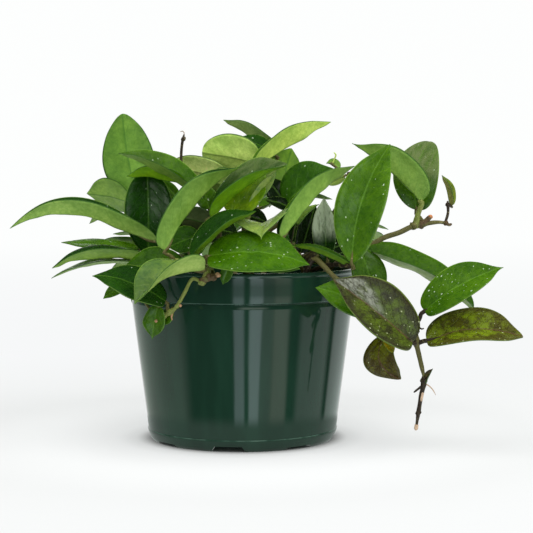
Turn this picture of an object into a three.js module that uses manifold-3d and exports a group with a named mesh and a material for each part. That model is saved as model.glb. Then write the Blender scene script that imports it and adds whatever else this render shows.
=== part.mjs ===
// A potted hoya: a tapered nursery pot with a rim band and a notched foot, its potting mix, and long leafy
// vines that arch, stand up and trail over the rim. Millimetres, +Z up. The pot's axis is the Z axis, the pad
// under the pot lies on z = 0, and the front of the plant faces -Y.
import * as THREE from "three";
import { mergeVertices } from "three/addons/utils/BufferGeometryUtils.js";
import Module from "manifold-3d";

const wasm = await Module();
wasm.setup();

// Pot
const POT_HEIGHT = 117.2;
const RIM_RADIUS = 77.5;
const BAND_HEIGHT = 19.7;
const LIP_HEIGHT = 2.2;
const LIP_PROUD = 0.7;
const TOP_RADIUS = 76.3;
const BASE_RADIUS = 65;
const BASE_RING_LEVEL = 7.3;
const WALL = 1.8;
const FLOOR_TOP = 8.6;
const FLOOR_UNDERSIDE = 6;
const FOOT_RADIUS = 62.4;
const FOOT_WIDTH = 4.4;
const PAD_RADIUS = 16;
const POT_SIDES = 40;
const DRAIN_NOTCHES = 4;
const DRAIN_NOTCH_WIDTH = 21;
const DRAIN_NOTCH_HEIGHT = 3.6;
const SHALLOW_NOTCH_HEIGHT = 1.1;
const FIRST_NOTCH_TURN = -97.6;
const DRAIN_HOLES = 6;
const DRAIN_HOLE_RADIUS = 4.5;
const DRAIN_HOLE_RING = 44;

// Potting mix
const SOIL_LEVEL = 100;
const SOIL_UNEVEN = 1.3;
const SOIL_GAP = 0.4;
const SOIL_SIDES = 20;
const HOLE_GAP = 1.1;
const HOLE_SIDES = 7;
const STEM_FOOT = 86;
const STEM_COLLAR = 103;

// Blades and stems
const BLADE_MIDDLE = 1.6;
const BLADE_EDGE = 0.8;
const BLADE_ROWS = 5;
const BACK_BLADE_ROWS = 4;
const SMALL_BLADE_ROWS = 3;
const SMALL_BLADE = 28;
const EDGE_TO_EDGE = [-1, 0, 1];
const END_HALF_WIDTH = 0.6;
const FOLD_ROUNDING = 0.1;
const WAVES = 1.6;
const STALK_RADIUS = 1.1;
const STALK_FLANK = 0.4;
const STALK_ROOT = 1.2;
const STEM_SIDES = 5;
const STEM_STEP = 12;

const POT_GREEN = 0x2c4a3a;
const MIX_BROWN = 0x2a211a;
const LEAF_GREEN = 0x3d7a22;
const MOTTLED_OLIVE = 0x55582c;

const up = (list) => new THREE.Vector3(...list);
const radians = THREE.MathUtils.degToRad;
const clamp = THREE.MathUtils.clamp;

// A closed geometry as a solid, and back.
function solidOf(geometry) {
  const bare = geometry.clone();
  bare.deleteAttribute("normal");
  bare.deleteAttribute("uv");
  const merged = mergeVertices(bare, 1e-4);
  return new wasm.Manifold(
    new wasm.Mesh({
      numProp: 3,
      vertProperties: new Float32Array(merged.attributes.position.array),
      triVerts: new Uint32Array(merged.index.array),
    }),
  );
}

function meshOf(solid, name, color, roughness) {
  const made = solid.getMesh();
  const geometry = new THREE.BufferGeometry();
  geometry.setAttribute("position", new THREE.BufferAttribute(new Float32Array(made.vertProperties), 3));
  geometry.setIndex(new THREE.BufferAttribute(new Uint32Array(made.triVerts), 1));
  geometry.computeVertexNormals();
  const mesh = new THREE.Mesh(geometry, new THREE.MeshStandardMaterial({ color, roughness, metalness: 0 }));
  mesh.name = name;
  return mesh;
}

// The solids as one body. A scrap that the joining leaves loose is dropped.
function fuse(solids) {
  const bodies = solids.reduce((whole, one) => whole.add(one)).decompose();
  return bodies.sort((one, other) => other.volume() - one.volume())[0];
}

// A profile of [radius, height] points turned round the Z axis.
function turned(profile, sides) {
  const points = profile.map(([radius, height]) => new THREE.Vector2(radius, height));
  return new THREE.LatheGeometry(points, sides).rotateX(Math.PI / 2);
}

// A round rod along a smooth line through the points.
function rod(points, radius, sides = STEM_SIDES, step = STEM_STEP) {
  const path = new THREE.CatmullRomCurve3(points);
  const corner = (k) => new THREE.Vector2(radius, 0).rotateAround(new THREE.Vector2(), (2 * Math.PI * k) / sides);
  const section = new THREE.Shape(Array.from({ length: sides }, (_, k) => corner(k)));
  const steps = Math.max(2, Math.round(path.getLength() / step));
  return solidOf(new THREE.ExtrudeGeometry(section, { steps, bevelEnabled: false, extrudePath: path }));
}

function ball(centre, radius) {
  return solidOf(new THREE.SphereGeometry(radius, 6, 4).translate(...centre));
}

// Numbers from 0 to 1 that are the same at every run.
function seeded(seed) {
  let state = seed;
  return () => {
    state = (state * 16807) % 2147483647;
    return state / 2147483647;
  };
}

// One leaf: where its blade starts and ends, which way its upper face looks, its width, and its form. fold
// raises both halves from the midrib, uneven adds to one side, bow and hook lift the midrib off the straight
// line, sweep bends it sideways, and twist turns the blade along its length.
const PLAIN_FORM = {
  fold: 15,
  uneven: 0,
  bow: 0.08,
  hook: 0,
  sweep: 0,
  twist: 0,
  wave: 0.05,
  baseBlunt: 0.5,
  tipBlunt: 0.8,
  peak: 0.86,
};

const leaf = (base, tip, upper, width, form = {}) => ({ ...PLAIN_FORM, base, tip, upper, width, ...form });

// Half the blade's width as a share of its widest, from base (0) to tip (1).
function outline(shape, s) {
  const blunt = shape.baseBlunt + (shape.tipBlunt - shape.baseBlunt) * s;
  return Math.max(Math.sin(Math.PI * s ** shape.peak), 0) ** blunt;
}

// A point of the blade's middle surface: s runs from base to tip, and t from -1 to 1 across.
function bladePoint(shape, s, t) {
  const base = up(shape.base);
  const along = up(shape.tip).sub(base);
  const length = along.length();
  along.normalize();
  const upper = up(shape.upper);
  upper.addScaledVector(along, -upper.dot(along)).normalize();
  const across = along.clone().cross(upper);
  const lift = shape.bow * 4 * s * (1 - s) + shape.hook * 6.75 * s * s * (1 - s);
  const slope = shape.bow * 4 * (1 - 2 * s) + shape.hook * 6.75 * (2 * s - 3 * s * s);
  const local = upper.clone().addScaledVector(along, -slope).normalize();
  const turn = radians(shape.twist) * (s - 0.5);
  const side = across.clone().multiplyScalar(Math.cos(turn)).addScaledVector(local, Math.sin(turn));
  const rise = local.clone().multiplyScalar(Math.cos(turn)).addScaledVector(across, -Math.sin(turn));
  const half = Math.max((shape.width / 2) * outline(shape, s), END_HALF_WIDTH);
  const fold = radians(shape.fold + (t > 0 ? shape.uneven : -shape.uneven));
  const soft = Math.hypot(t, FOLD_ROUNDING) - FOLD_ROUNDING;
  const ripple = (shape.wave / 2) * t * t * Math.sin(2 * Math.PI * WAVES * s + (t > 0 ? 2 : 0.4));
  return base
    .addScaledVector(along, length * s)
    .addScaledVector(upper, length * lift)
    .addScaledVector(across, length * shape.sweep * 4 * s * (1 - s))
    .addScaledVector(side, half * t * Math.cos(fold))
    .addScaledVector(rise, half * (soft * Math.sin(fold) + ripple));
}

function bladeNormal(shape, s, t) {
  const d = 0.05;
  const middle = clamp(s, 0.06, 0.94);
  const along = bladePoint(shape, middle + d, t).sub(bladePoint(shape, middle - d, t));
  const across = bladePoint(shape, middle, Math.min(t + d, 1)).sub(bladePoint(shape, middle, Math.max(t - d, -1)));
  return across.cross(along).normalize();
}

// The cross-sections of the blade, each three upper places from edge to edge and the three under them.
function bladeSections(shape, rows) {
  const sections = [];
  for (let i = 1; i <= rows; i++) {
    const s = (1 - Math.cos((Math.PI * i) / rows)) / 2;
    const thick = [BLADE_EDGE, i === rows ? BLADE_EDGE : BLADE_MIDDLE, BLADE_EDGE];
    const middles = EDGE_TO_EDGE.map((t) => bladePoint(shape, s, t));
    const normals = EDGE_TO_EDGE.map((t) => bladeNormal(shape, s, t));
    const shifted = (sign) => middles.map((m, j) => m.clone().addScaledVector(normals[j], (sign * thick[j]) / 2));
    sections.push([shifted(1), shifted(-1)]);
  }
  return sections;
}

// The cross-sections of the leaf stalk, from inside the nearest stem to the foot of the blade.
function stalkSections(shape, stemPlaces, steps) {
  const base = up(shape.base);
  const along = up(shape.tip).sub(base).normalize();
  const radius = shape.stalk ?? STALK_RADIUS;
  const start = stemPlaces.reduce((best, p) => (p.distanceTo(base) < best.distanceTo(base) ? p : best));
  const reach = start.distanceTo(base);
  const path = new THREE.CatmullRomCurve3([
    start.clone().lerp(base, -STALK_ROOT / reach),
    start.clone().lerp(base, 0.45),
    base.clone().addScaledVector(along, -Math.min(5, reach * 0.25)),
    base,
  ]);
  const bladeSide = bladePoint(shape, 0.3, 1).sub(bladePoint(shape, 0.3, -1)).normalize();
  const sections = [];
  for (let k = 0; k <= steps; k++) {
    const middle = path.getPoint(k / steps);
    const tangent = path.getTangent(k / steps);
    const side = bladeSide.clone().addScaledVector(tangent, -bladeSide.dot(tangent)).normalize();
    const rise = side.clone().cross(tangent).normalize();
    const at = (t, height) => middle.clone().addScaledVector(side, radius * t).addScaledVector(rise, radius * height);
    sections.push([
      [at(-1, STALK_FLANK), at(0, 1), at(1, STALK_FLANK)],
      [at(-1, -STALK_FLANK), at(0, -1), at(1, -STALK_FLANK)],
    ]);
  }
  return sections;
}

// One leaf with its stalk, as one closed skin over its cross-sections.
function leafSolid(shape, stemPlaces) {
  const length = up(shape.tip).distanceTo(up(shape.base));
  const small = length < SMALL_BLADE;
  const rows = shape.rows ?? (small ? SMALL_BLADE_ROWS : BLADE_ROWS);
  const sections = [...stalkSections(shape, stemPlaces, small ? 1 : 2), ...bladeSections(shape, rows)];
  const places = sections.flatMap(([upper, under]) => [...upper, ...under]);
  const index = [];
  const quad = (a, b, c, d) => index.push(a, b, c, a, c, d);
  for (let i = 0; i + 1 < sections.length; i++) {
    const a = 6 * i;
    const b = a + 6;
    quad(a, a + 1, b + 1, b);
    quad(a + 1, a + 2, b + 2, b + 1);
    index.push(a + 3, b + 4, a + 4, a + 3, b + 3, b + 4);
    index.push(a + 4, b + 5, a + 5, a + 4, b + 4, b + 5);
    quad(a, b, b + 3, a + 3);
    quad(a + 2, a + 5, b + 5, b + 2);
  }
  const last = 6 * (sections.length - 1);
  quad(0, 3, 4, 1);
  quad(1, 4, 5, 2);
  quad(last, last + 1, last + 4, last + 3);
  quad(last + 1, last + 2, last + 5, last + 4);
  const geometry = new THREE.BufferGeometry().setFromPoints(places);
  geometry.setIndex(index);
  return solidOf(geometry);
}

// A vine: its stems, its leaves and its knobs, fused into one body.
function vineSolid(vine) {
  const stems = vine.stems.map(({ radius, points }) => rod(points.map(up), radius));
  const places = vine.stems.flatMap(({ points }) => new THREE.CatmullRomCurve3(points.map(up)).getPoints(40));
  const leaves = vine.leaves.map((shape) => leafSolid(shape, places));
  const knobs = (vine.knobs ?? []).map(({ centre, radius }) => ball(centre, radius));
  return fuse([...stems, ...leaves, ...knobs]);
}

// The straight foot of a stem in its hole.
const foot = (x, y) => [[x, y, STEM_FOOT], [x, y, STEM_COLLAR]];

// The vines that show from the front. Each stem is a list of places from the mix outwards.
const FRONT_VINES = [
  {
    name: "vine_left",
    stems: [
      {
        radius: 1.8,
        points: [...foot(-34, -14), [-42, -16, 112], [-50, -18, 124], [-58, -15, 137], [-66, -12, 148], [-74, -10, 159]],
      },
    ],
    leaves: [
      leaf([-56, -46, 137], [-149, -62, 146], [0, -0.22, 1], 34, { fold: 56, bow: 0.065, hook: 0.055 }),
      leaf([-76, -8, 162], [-108, 8, 168], [-0.1, 0.8, 0.6], 30, { fold: 12, bow: 0.05 }),
      leaf([-69, -20, 131], [-120, -34, 135], [0, -0.28, 1], 24, { fold: 5, bow: 0 }),
      leaf([-63, -12, 132], [-99, -4, 134], [0, 0.5, 0.8], 20, { fold: 10, bow: 0 }),
      leaf([-61, -42, 124], [-123, -56, 119], [0, -0.12, 1], 30, { fold: 30, bow: 0.055, hook: 0.015 }),
      leaf([-61, -36, 120], [-125, -46, 110], [0, -0.04, 1], 22, { fold: 12, bow: 0.09, hook: 0.01 }),
    ],
  },
  {
    name: "vine_front_left",
    stems: [
      {
        radius: 1.9,
        points: [...foot(-18, -44), [-18, -56, 112], [-19, -70, 120], [-20, -80, 121], [-22, -86, 116], [-26, -86, 112]],
      },
      { radius: 2.6, points: [[-25, -86, 113], [-20, -87, 115], [-14, -87, 117]] },
      { radius: 1.6, points: [[-19, -72, 120.6], [-30, -78, 123], [-43, -79, 127]] },
      {
        radius: 1.5,
        points: [[-25, -86, 113], [-30, -84, 114.5], [-35, -84, 106], [-39, -82, 99], [-42, -81, 95], [-47, -79, 92.5], [-52, -77, 92]],
      },
    ],
    knobs: [
      { centre: [-40, -82, 97], radius: 2 },
      { centre: [-24, -86, 112.5], radius: 3 },
    ],
    leaves: [
      leaf([-48, -80, 131], [1, -58, 186], [-0.72, -0.05, 0.68], 31, {
        fold: 62,
        bow: 0.12,
        hook: 0.01,
        twist: -36,
        baseBlunt: 0.36,
      }),
      leaf([-23, -86, 120], [-65, -104, 100], [-0.35, -0.26, 0.9], 36, {
        fold: 42,
        bow: 0.13,
        twist: 52,
        baseBlunt: 0.35,
      }),
      leaf([-48, -78, 99], [-94, -80, 116], [-0.3, -0.45, 0.85], 34, { fold: 8, bow: 0.11, baseBlunt: 0.4, tipBlunt: 1 }),
      leaf([-72, -66, 110], [-88, -72, 101], [-0.3, -0.8, 0.4], 10, { fold: 20, bow: 0.05 }),
      leaf([-37, -61, 122], [-77, -61, 119], [0.1, -0.7, 0.75], 28, { bow: 0.06 }),
      leaf([-53, -76, 95], [-58, -74, 75], [-0.2, -1, 0.1], 17, { fold: 20, baseBlunt: 0.4, tipBlunt: 1.1 }),
    ],
  },
  {
    name: "vine_tall_left",
    stems: [
      { radius: 1.9, points: [...foot(-26, -6), [-30, -12, 118], [-34, -18, 145], [-35, -26, 160], [-36, -31, 168]] },
      { radius: 1.6, points: [[-34, -18, 145], [-46, -12, 156], [-58, -10, 164], [-66, -10, 172], [-66, -16, 182]] },
      { radius: 1.5, points: [[-35, -26, 160], [-24, -16, 170], [-14, -9, 177]] },
      { radius: 1, points: [[-35.5, -29.5, 164.5], [-41, -16, 182], [-42, -12, 194], [-41, -12, 204], [-40, -12, 208]] },
    ],
    knobs: [{ centre: [-40.5, -12, 205], radius: 1.7 }],
    leaves: [
      leaf([-71, -4, 165], [-82, 6, 223], [0, 1, 0], 35, { fold: 8, bow: 0.05, sweep: 0.05, baseBlunt: 0.6, tipBlunt: 0.62 }),
      leaf([-31, -40, 169], [-81, -40, 194], [0.4, -0.33, 0.85], 31, { fold: 32, bow: 0.06, hook: 0.01 }),
      leaf([-36, -32, 167], [-77, -32, 179], [0.15, 0, 1], 25, { fold: 45, bow: 0.05 }),
      leaf([-65, -22, 182], [-64, -28, 124], [0.2, -1, 0.1], 31, { fold: 12, bow: 0.05 }),
      leaf([-10, -8, 179], [-54, -2, 186], [0, 0.75, 0.65], 26, { fold: 10, bow: 0 }),
    ],
  },
  {
    name: "vine_back_top",
    stems: [
      { radius: 1.9, points: [...foot(4, 8), [2, 6, 128], [4, 4, 155], [8, 6, 176], [18, 12, 186], [26, 20, 189]] },
      { radius: 1.6, points: [[2, 6, 130], [18, 0, 142], [29, -3, 151], [31, -5, 157]] },
    ],
    leaves: [
      leaf([30, 26, 190], [-14, 34, 220], [0.45, 0.1, 0.9], 28, { fold: 35, bow: 0.03 }),
      leaf([23, 12, 194], [-3, 14, 207], [0.3, -0.6, 0.8], 18, { fold: 20, bow: 0.05 }),
      leaf([13, 2, 188], [-28, 10, 197], [-0.1, 0.85, 0.5], 36, { fold: 10, bow: 0.02, tipBlunt: 0.4 }),
      leaf([8, -10, 184], [61, 4, 216], [-0.5, -0.02, 0.86], 33, { fold: 58, bow: 0 }),
      leaf([27, 14, 174], [32, 22, 198], [-0.4, 0.9, 0.3], 26, { fold: 10, bow: 0.06, tipBlunt: 0.6 }),
      leaf([30, -6, 159], [62, -10, 184], [-0.4, -0.8, 0.6], 36, { bow: 0.12 }),
      leaf([-3, 10, 154], [18, 12, 147], [0, -0.8, 0.5], 16, { fold: 10 }),
      leaf([-4, 0, 140], [-44, -6, 144], [0, -0.8, 0.6], 26),
    ],
  },
  {
    name: "vine_middle",
    stems: [
      { radius: 1.8, points: [...foot(-6, -30), [-10, -38, 120], [-15, -44, 142], [-16, -50, 154]] },
      { radius: 1.5, points: [[-10, -38, 120], [0, -44, 136], [2, -50, 149], [4, -48, 159], [2, -42, 166]] },
    ],
    leaves: [
      leaf([-19, -66, 153], [30, -58, 187], [-0.5, -0.14, 0.85], 35, {
        fold: 40,
        bow: 0.055,
        hook: 0.01,
        twist: -48,
        tipBlunt: 0.62,
        peak: 0.95,
      }),
      leaf([-7, -52, 155], [16, -46, 182], [-0.3, -0.8, 0.4], 30, { fold: 12 }),
      leaf([3, -40, 167], [24, -38, 187], [-0.5, 0.8, 0.5], 22, { bow: 0.06 }),
      leaf([-21, -44, 158], [-26, -40, 174], [0, -1, 0.3], 15, { fold: 25, bow: 0.04 }),
      leaf([-1, -34, 171], [-25, -30, 176], [0, 0.8, 0.5], 26, { fold: 12, bow: 0.05 }),
      leaf([-18, -44, 148], [-42, -44, 152], [0, 0.75, 0.6], 22, { fold: 10, bow: 0.05 }),
      leaf([-27, -52, 140], [-47, -50, 133], [0.2, -0.75, 0.7], 22, { fold: 10 }),
    ],
  },
  {
    name: "vine_front",
    stems: [
      { radius: 1.8, points: [...foot(8, -44), [6, -57, 113], [0, -70, 121], [-10, -78, 124], [-26, -81, 126]] },
      { radius: 1.4, points: [[6, -57, 113], [10, -54, 130], [12, -50, 143]] },
    ],
    leaves: [
      leaf([-30, -84, 128], [10, -78, 157], [-0.58, -0.34, 0.76], 31, { fold: 32, bow: 0.055, hook: 0.01 }),
      leaf([-20, -88, 128], [43, -88, 123], [0, -0.68, 0.73], 39, { fold: 7, bow: 0.12, baseBlunt: 0.3, tipBlunt: 0.9 }),
      leaf([12, -50, 146], [11, -96, 138], [0, -0.1, 1], 40, { fold: 27, uneven: -6, bow: 0.1, tipBlunt: 0.6 }),
    ],
  },
  {
    name: "vine_right_middle",
    stems: [
      { radius: 1.9, points: [...foot(36, -24), [42, -34, 115], [50, -42, 135], [59, -45, 152], [69, -45, 168], [71, -42, 182]] },
      { radius: 1.8, points: [[42, -34, 115], [53, -45, 120], [60, -55, 122], [68, -66, 122], [72, -70, 121]] },
    ],
    leaves: [
      leaf([26, -78, 140], [74, -52, 186], [-0.7, -0.04, 0.71], 29, {
        fold: 54,
        bow: 0.04,
        hook: 0.01,
        twist: -14,
        baseBlunt: 0.7,
      }),
      leaf([68, -44, 180], [56, -44, 174], [0, 0.9, 0.5], 9, { fold: 10, bow: 0.02 }),
      leaf([53, -50, 129], [55, -46, 165], [-0.5, -0.8, 0.2], 22, { fold: 20, bow: 0.03 }),
      leaf([72, -72, 124], [97, -60, 200], [-0.15, -1, 0.2], 33, {
        fold: 12,
        bow: 0.04,
        sweep: -0.07,
        baseBlunt: 0.75,
        tipBlunt: 0.72,
      }),
      leaf([79, -52, 132], [86, -54, 95], [0.2, -0.9, 0.5], 25, { fold: 10, bow: 0.06, baseBlunt: 0.7 }),
      leaf([39, -40, 129], [49, -36, 161], [0.2, -1, 0.2], 16, { fold: 20, bow: 0.03 }),
      leaf([71, -66, 122], [32, -62, 135], [0.2, -0.2, 1], 12, { fold: 45, bow: 0.03 }),
      leaf([64, -40, 184], [56, -40, 188], [0, 0.5, 0.9], 9, { fold: 60, bow: 0.2 }),
    ],
  },
  {
    name: "vine_right_trailing",
    color: MOTTLED_OLIVE,
    stems: [
      {
        radius: 2.3,
        points: [...foot(32, -42), [40, -54, 112], [47, -62, 127], [54, -66, 121], [61, -68, 114], [72, -66, 106], [90, -62, 98]],
      },
      {
        radius: 1.7,
        points: [
          [89, -62, 98.4],
          [106, -60, 91],
          [112, -61, 82],
          [113.5, -62, 72],
          [115.5, -62, 61],
          [118, -62, 48],
          [116, -62, 38],
          [114.3, -62, 28],
          [112.7, -62, 15.6],
        ],
      },
      { radius: 0.8, points: [[117.5, -62, 44], [114.5, -62, 41.5], [111.7, -62, 39.5]] },
    ],
    knobs: [
      { centre: [113, -62, 74], radius: 2.8 },
      { centre: [117.6, -62, 46.5], radius: 2.4 },
      { centre: [114.1, -62, 26], radius: 2.2 },
    ],
    leaves: [
      leaf([111, -70, 72], [58, -84, 113], [0.3, -0.87, 0.38], 40, { fold: 29, bow: 0.03, baseBlunt: 0.4, tipBlunt: 0.85 }),
      leaf([96, -60, 92], [48, -70, 108], [0.1, -0.9, 0.4], 26, { fold: 10, bow: 0.05 }),
      leaf([120, -64, 90], [170, -62, 119], [-0.33, -0.75, 0.57], 31, {
        fold: 18,
        bow: 0.11,
        baseBlunt: 0.4,
        tipBlunt: 1.1,
      }),
      leaf([120, -64, 70], [183, -62, 75], [0, -0.58, 0.8], 36, {
        fold: 20,
        bow: 0.12,
        baseBlunt: 0.35,
        tipBlunt: 0.75,
      }),
      leaf([95, -56, 75], [103, -62, 47], [-0.1, -1, 0.1], 20, { bow: 0.1, sweep: 0.3, baseBlunt: 0.35, tipBlunt: 0.5 }),
      leaf([118.5, -62, 47.5], [122, -62, 54], [-0.6, -0.6, 0.4], 5, { fold: 40, bow: 0.1 }),
    ],
  },
  {
    name: "vine_right_reaching",
    stems: [
      {
        radius: 2,
        points: [
          ...foot(46, -14),
          [54, -22, 113],
          [68, -32, 125],
          [84.8, -40, 133.6],
          [94.7, -38, 139],
          [105, -36, 142.7],
          [113.7, -34, 147],
          [122, -32, 149],
          [132, -30, 150],
          [138, -28, 149],
        ],
      },
      { radius: 0.9, points: [[136, -29, 149.5], [138.5, -28, 155], [139.4, -26, 163]] },
      { radius: 1.4, points: [[124, -32, 149], [126, -31, 152], [126.4, -31, 154.5]] },
    ],
    knobs: [
      { centre: [114.5, -34, 147.5], radius: 3.2 },
      { centre: [121, -32.5, 149], radius: 3.2 },
      { centre: [137, -28.5, 149.5], radius: 2.4 },
    ],
    leaves: [
      leaf([119, -36, 163], [73, -40, 199], [0.62, -0.04, 0.78], 37, {
        fold: 72,
        bow: 0.045,
        baseBlunt: 0.4,
        tipBlunt: 1.1,
        peak: 0.75,
        stalk: 1.4,
      }),
      leaf([117, -24, 156], [126, -12, 203], [-0.1, -1, 0.2], 31, { fold: 10, sweep: -0.1, tipBlunt: 0.45, stalk: 1.3 }),
      leaf([140, -24, 160], [133, -26, 181], [0.8, -0.5, 0.2], 12, { fold: 60, bow: 0.06 }),
      leaf([82, -46, 132], [154, -38, 92], [0.48, -0.24, 0.84], 32, { fold: 38, bow: 0.035 }),
    ],
  },
];

// Vines on the far side: each climbs out of the mix at its own bearing, leans over the rim and carries two
// pairs of leaves and one at its end. bearing is in degrees round the pot, reach is how far out the vine goes,
// lift is how high it climbs over the rim, first is where along it the first pair stands, spread is how many
// degrees its leaves open to each side, and dip is how steeply they point down towards its end.
const BACK_VINES = [
  { name: "vine_back_left_low", bearing: 126, reach: 92, lift: 0, first: 0.6, spread: 26, dip: 0.5, seed: 11 },
  { name: "vine_back_left_high", bearing: 143, reach: 90, lift: 27, first: 0.5, spread: 38, dip: 0, seed: 23 },
  { name: "vine_back_low", bearing: 99, reach: 112, lift: 16, first: 0.66, spread: 34, dip: 0.3, seed: 37 },
  { name: "vine_back_high", bearing: 85, reach: 92, lift: 60, first: 0.6, spread: 60, dip: 0.15, seed: 41 },
  { name: "vine_back_right_low", bearing: 67, reach: 106, lift: 0, first: 0.6, spread: 38, dip: 0.4, seed: 59 },
  { name: "vine_back_right_high", bearing: 44, reach: 84, lift: 22, first: 0.52, spread: 44, dip: 0.1, seed: 67 },
];
const PAIR_STEP = 0.3;
const BACK_STALK = 8;
const BACK_LEAF_LENGTH = 46;

function backVine({ name, bearing, reach, lift, first, spread, dip, seed }) {
  const draw = seeded(seed);
  const heading = (degrees, pitch) => {
    const turn = radians(degrees);
    return new THREE.Vector3(Math.cos(turn), Math.sin(turn), pitch).normalize();
  };
  const out = heading(bearing, 0);
  const at = (radius, height) => out.clone().multiplyScalar(radius).setZ(height).toArray();
  const points = [
    at(30, STEM_FOOT),
    at(30, STEM_COLLAR),
    at(38, 112),
    at(58, 120 + lift * 0.7),
    at(80, 122 + lift),
    at(reach, 120 + lift * 0.9),
  ];
  const path = new THREE.CatmullRomCurve3(points.map(up));
  const leaves = [];
  const add = (share, degrees, pitch) => {
    const along = heading(degrees, pitch);
    const length = BACK_LEAF_LENGTH + 16 * draw();
    const base = path.getPointAt(share).addScaledVector(along, BACK_STALK);
    const tip = base.clone().addScaledVector(along, length);
    const upper = [0.3 * along.x + 0.3 * (draw() - 0.5), 0.3 * along.y + 0.3 * (draw() - 0.5), 1];
    const width = length * (0.46 + 0.08 * draw());
    const form = { fold: 14 + 22 * draw(), bow: 0.07 + 0.06 * draw(), twist: 30 * (draw() - 0.5) };
    leaves.push(leaf(base.toArray(), tip.toArray(), upper, width, { ...form, rows: BACK_BLADE_ROWS }));
  };
  for (let k = 0; k < 2; k++) {
    add(first + PAIR_STEP * k, bearing + spread, 0.2 - dip * k);
    add(first + PAIR_STEP * k, bearing - spread, 0.1 - dip * k);
  }
  add(0.98, bearing + 12 * (draw() - 0.5), -2 * dip);
  return { name, stems: [{ radius: 1.8, points }], leaves };
}

// The pot: a turned wall with its rim band, lip, base ring and hollow foot, cut by drain notches and holes.
function pot() {
  const bandFoot = POT_HEIGHT - BAND_HEIGHT;
  const lipFoot = POT_HEIGHT - LIP_HEIGHT;
  const lipRadius = RIM_RADIUS + LIP_PROUD;
  const profile = [
    [0, 0],
    [PAD_RADIUS, 0],
    [PAD_RADIUS + 1, FLOOR_UNDERSIDE],
    [FOOT_RADIUS - FOOT_WIDTH - 1, FLOOR_UNDERSIDE],
    [FOOT_RADIUS - FOOT_WIDTH, 0],
    [FOOT_RADIUS, 0],
    [FOOT_RADIUS + 1.3, 1.9],
    [BASE_RADIUS - 0.4, BASE_RING_LEVEL - 1.6],
    [BASE_RADIUS + 0.3, BASE_RING_LEVEL - 0.7],
    [BASE_RADIUS + 0.4, BASE_RING_LEVEL + 0.3],
    [BASE_RADIUS + 0.1, BASE_RING_LEVEL + 1.4],
    [TOP_RADIUS, bandFoot - 0.9],
    [TOP_RADIUS - 0.3, bandFoot - 0.2],
    [RIM_RADIUS, bandFoot + 0.2],
    [RIM_RADIUS + 0.2, lipFoot - 0.5],
    [lipRadius, lipFoot],
    [lipRadius, POT_HEIGHT - 0.6],
    [lipRadius - 0.6, POT_HEIGHT],
    [RIM_RADIUS - WALL, POT_HEIGHT],
    [RIM_RADIUS - WALL - 0.3, bandFoot + 1],
    [TOP_RADIUS - WALL, bandFoot - 1],
    [BASE_RADIUS - WALL, FLOOR_TOP],
    [0, FLOOR_TOP],
  ];
  const cutters = [];
  for (let i = 0; i < 2 * DRAIN_NOTCHES; i++) {
    const height = i % 2 === 0 ? DRAIN_NOTCH_HEIGHT : SHALLOW_NOTCH_HEIGHT;
    const section = new THREE.Shape([
      new THREE.Vector2(-DRAIN_NOTCH_WIDTH / 2 - 1.5, -1),
      new THREE.Vector2(DRAIN_NOTCH_WIDTH / 2 + 1.5, -1),
      new THREE.Vector2(DRAIN_NOTCH_WIDTH / 2 - 1.5, height),
      new THREE.Vector2(-DRAIN_NOTCH_WIDTH / 2 + 1.5, height),
    ]);
    const notch = new THREE.ExtrudeGeometry(section, { depth: 12, bevelEnabled: false });
    notch.rotateX(Math.PI / 2).translate(0, -(FOOT_RADIUS - FOOT_WIDTH - 4), 0);
    notch.rotateZ(radians(FIRST_NOTCH_TURN + 90 + (180 / DRAIN_NOTCHES) * i));
    cutters.push(solidOf(notch));
  }
  for (let i = 0; i < DRAIN_HOLES; i++) {
    const drain = new THREE.CylinderGeometry(DRAIN_HOLE_RADIUS, DRAIN_HOLE_RADIUS, 6, 12).rotateX(Math.PI / 2);
    drain.translate(0, -DRAIN_HOLE_RING, FLOOR_TOP - 1).rotateZ(radians((360 / DRAIN_HOLES) * i));
    cutters.push(solidOf(drain));
  }
  return cutters.reduce((body, cutter) => body.subtract(cutter), solidOf(turned(profile, POT_SIDES)));
}

// The potting mix: it fills the pot to just under the rim band, has an uneven top, and each stem stands in a
// plain hole in it.
function pottingMix(vines) {
  const bandFoot = POT_HEIGHT - BAND_HEIGHT;
  const slant = (TOP_RADIUS - BASE_RADIUS) / (bandFoot - 1 - FLOOR_TOP);
  const inside = (height) => BASE_RADIUS - WALL - SOIL_GAP + slant * (height - FLOOR_TOP);
  const bottom = FLOOR_TOP + SOIL_GAP;
  const shoulder = bandFoot - 1.6;
  const rings = [0.88, 0.66, 0.44, 0.22];
  const profile = [
    [0, bottom],
    [inside(bottom), bottom],
    [inside(shoulder), shoulder],
    [inside(shoulder) - 0.2, SOIL_LEVEL],
    ...rings.map((share) => [inside(shoulder) * share, SOIL_LEVEL]),
    [0, SOIL_LEVEL],
  ];
  const body = turned(profile, SOIL_SIDES);
  const place = body.attributes.position;
  for (let i = 0; i < place.count; i++) {
    if (place.getZ(i) < SOIL_LEVEL - 0.01) continue;
    const x = place.getX(i);
    const y = place.getY(i);
    place.setZ(i, SOIL_LEVEL + SOIL_UNEVEN * Math.sin(x * 0.11 + 1) * Math.cos(y * 0.13));
  }
  const holes = vines.map(({ stems: [{ radius, points: [[x, y]] }] }) => {
    const hole = radius + HOLE_GAP;
    const drill = new THREE.CylinderGeometry(hole, hole, 30, HOLE_SIDES).rotateX(Math.PI / 2);
    return solidOf(drill.translate(x, y, STEM_FOOT - HOLE_GAP + 15));
  });
  return holes.reduce((mix, hole) => mix.subtract(hole), solidOf(body));
}

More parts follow.
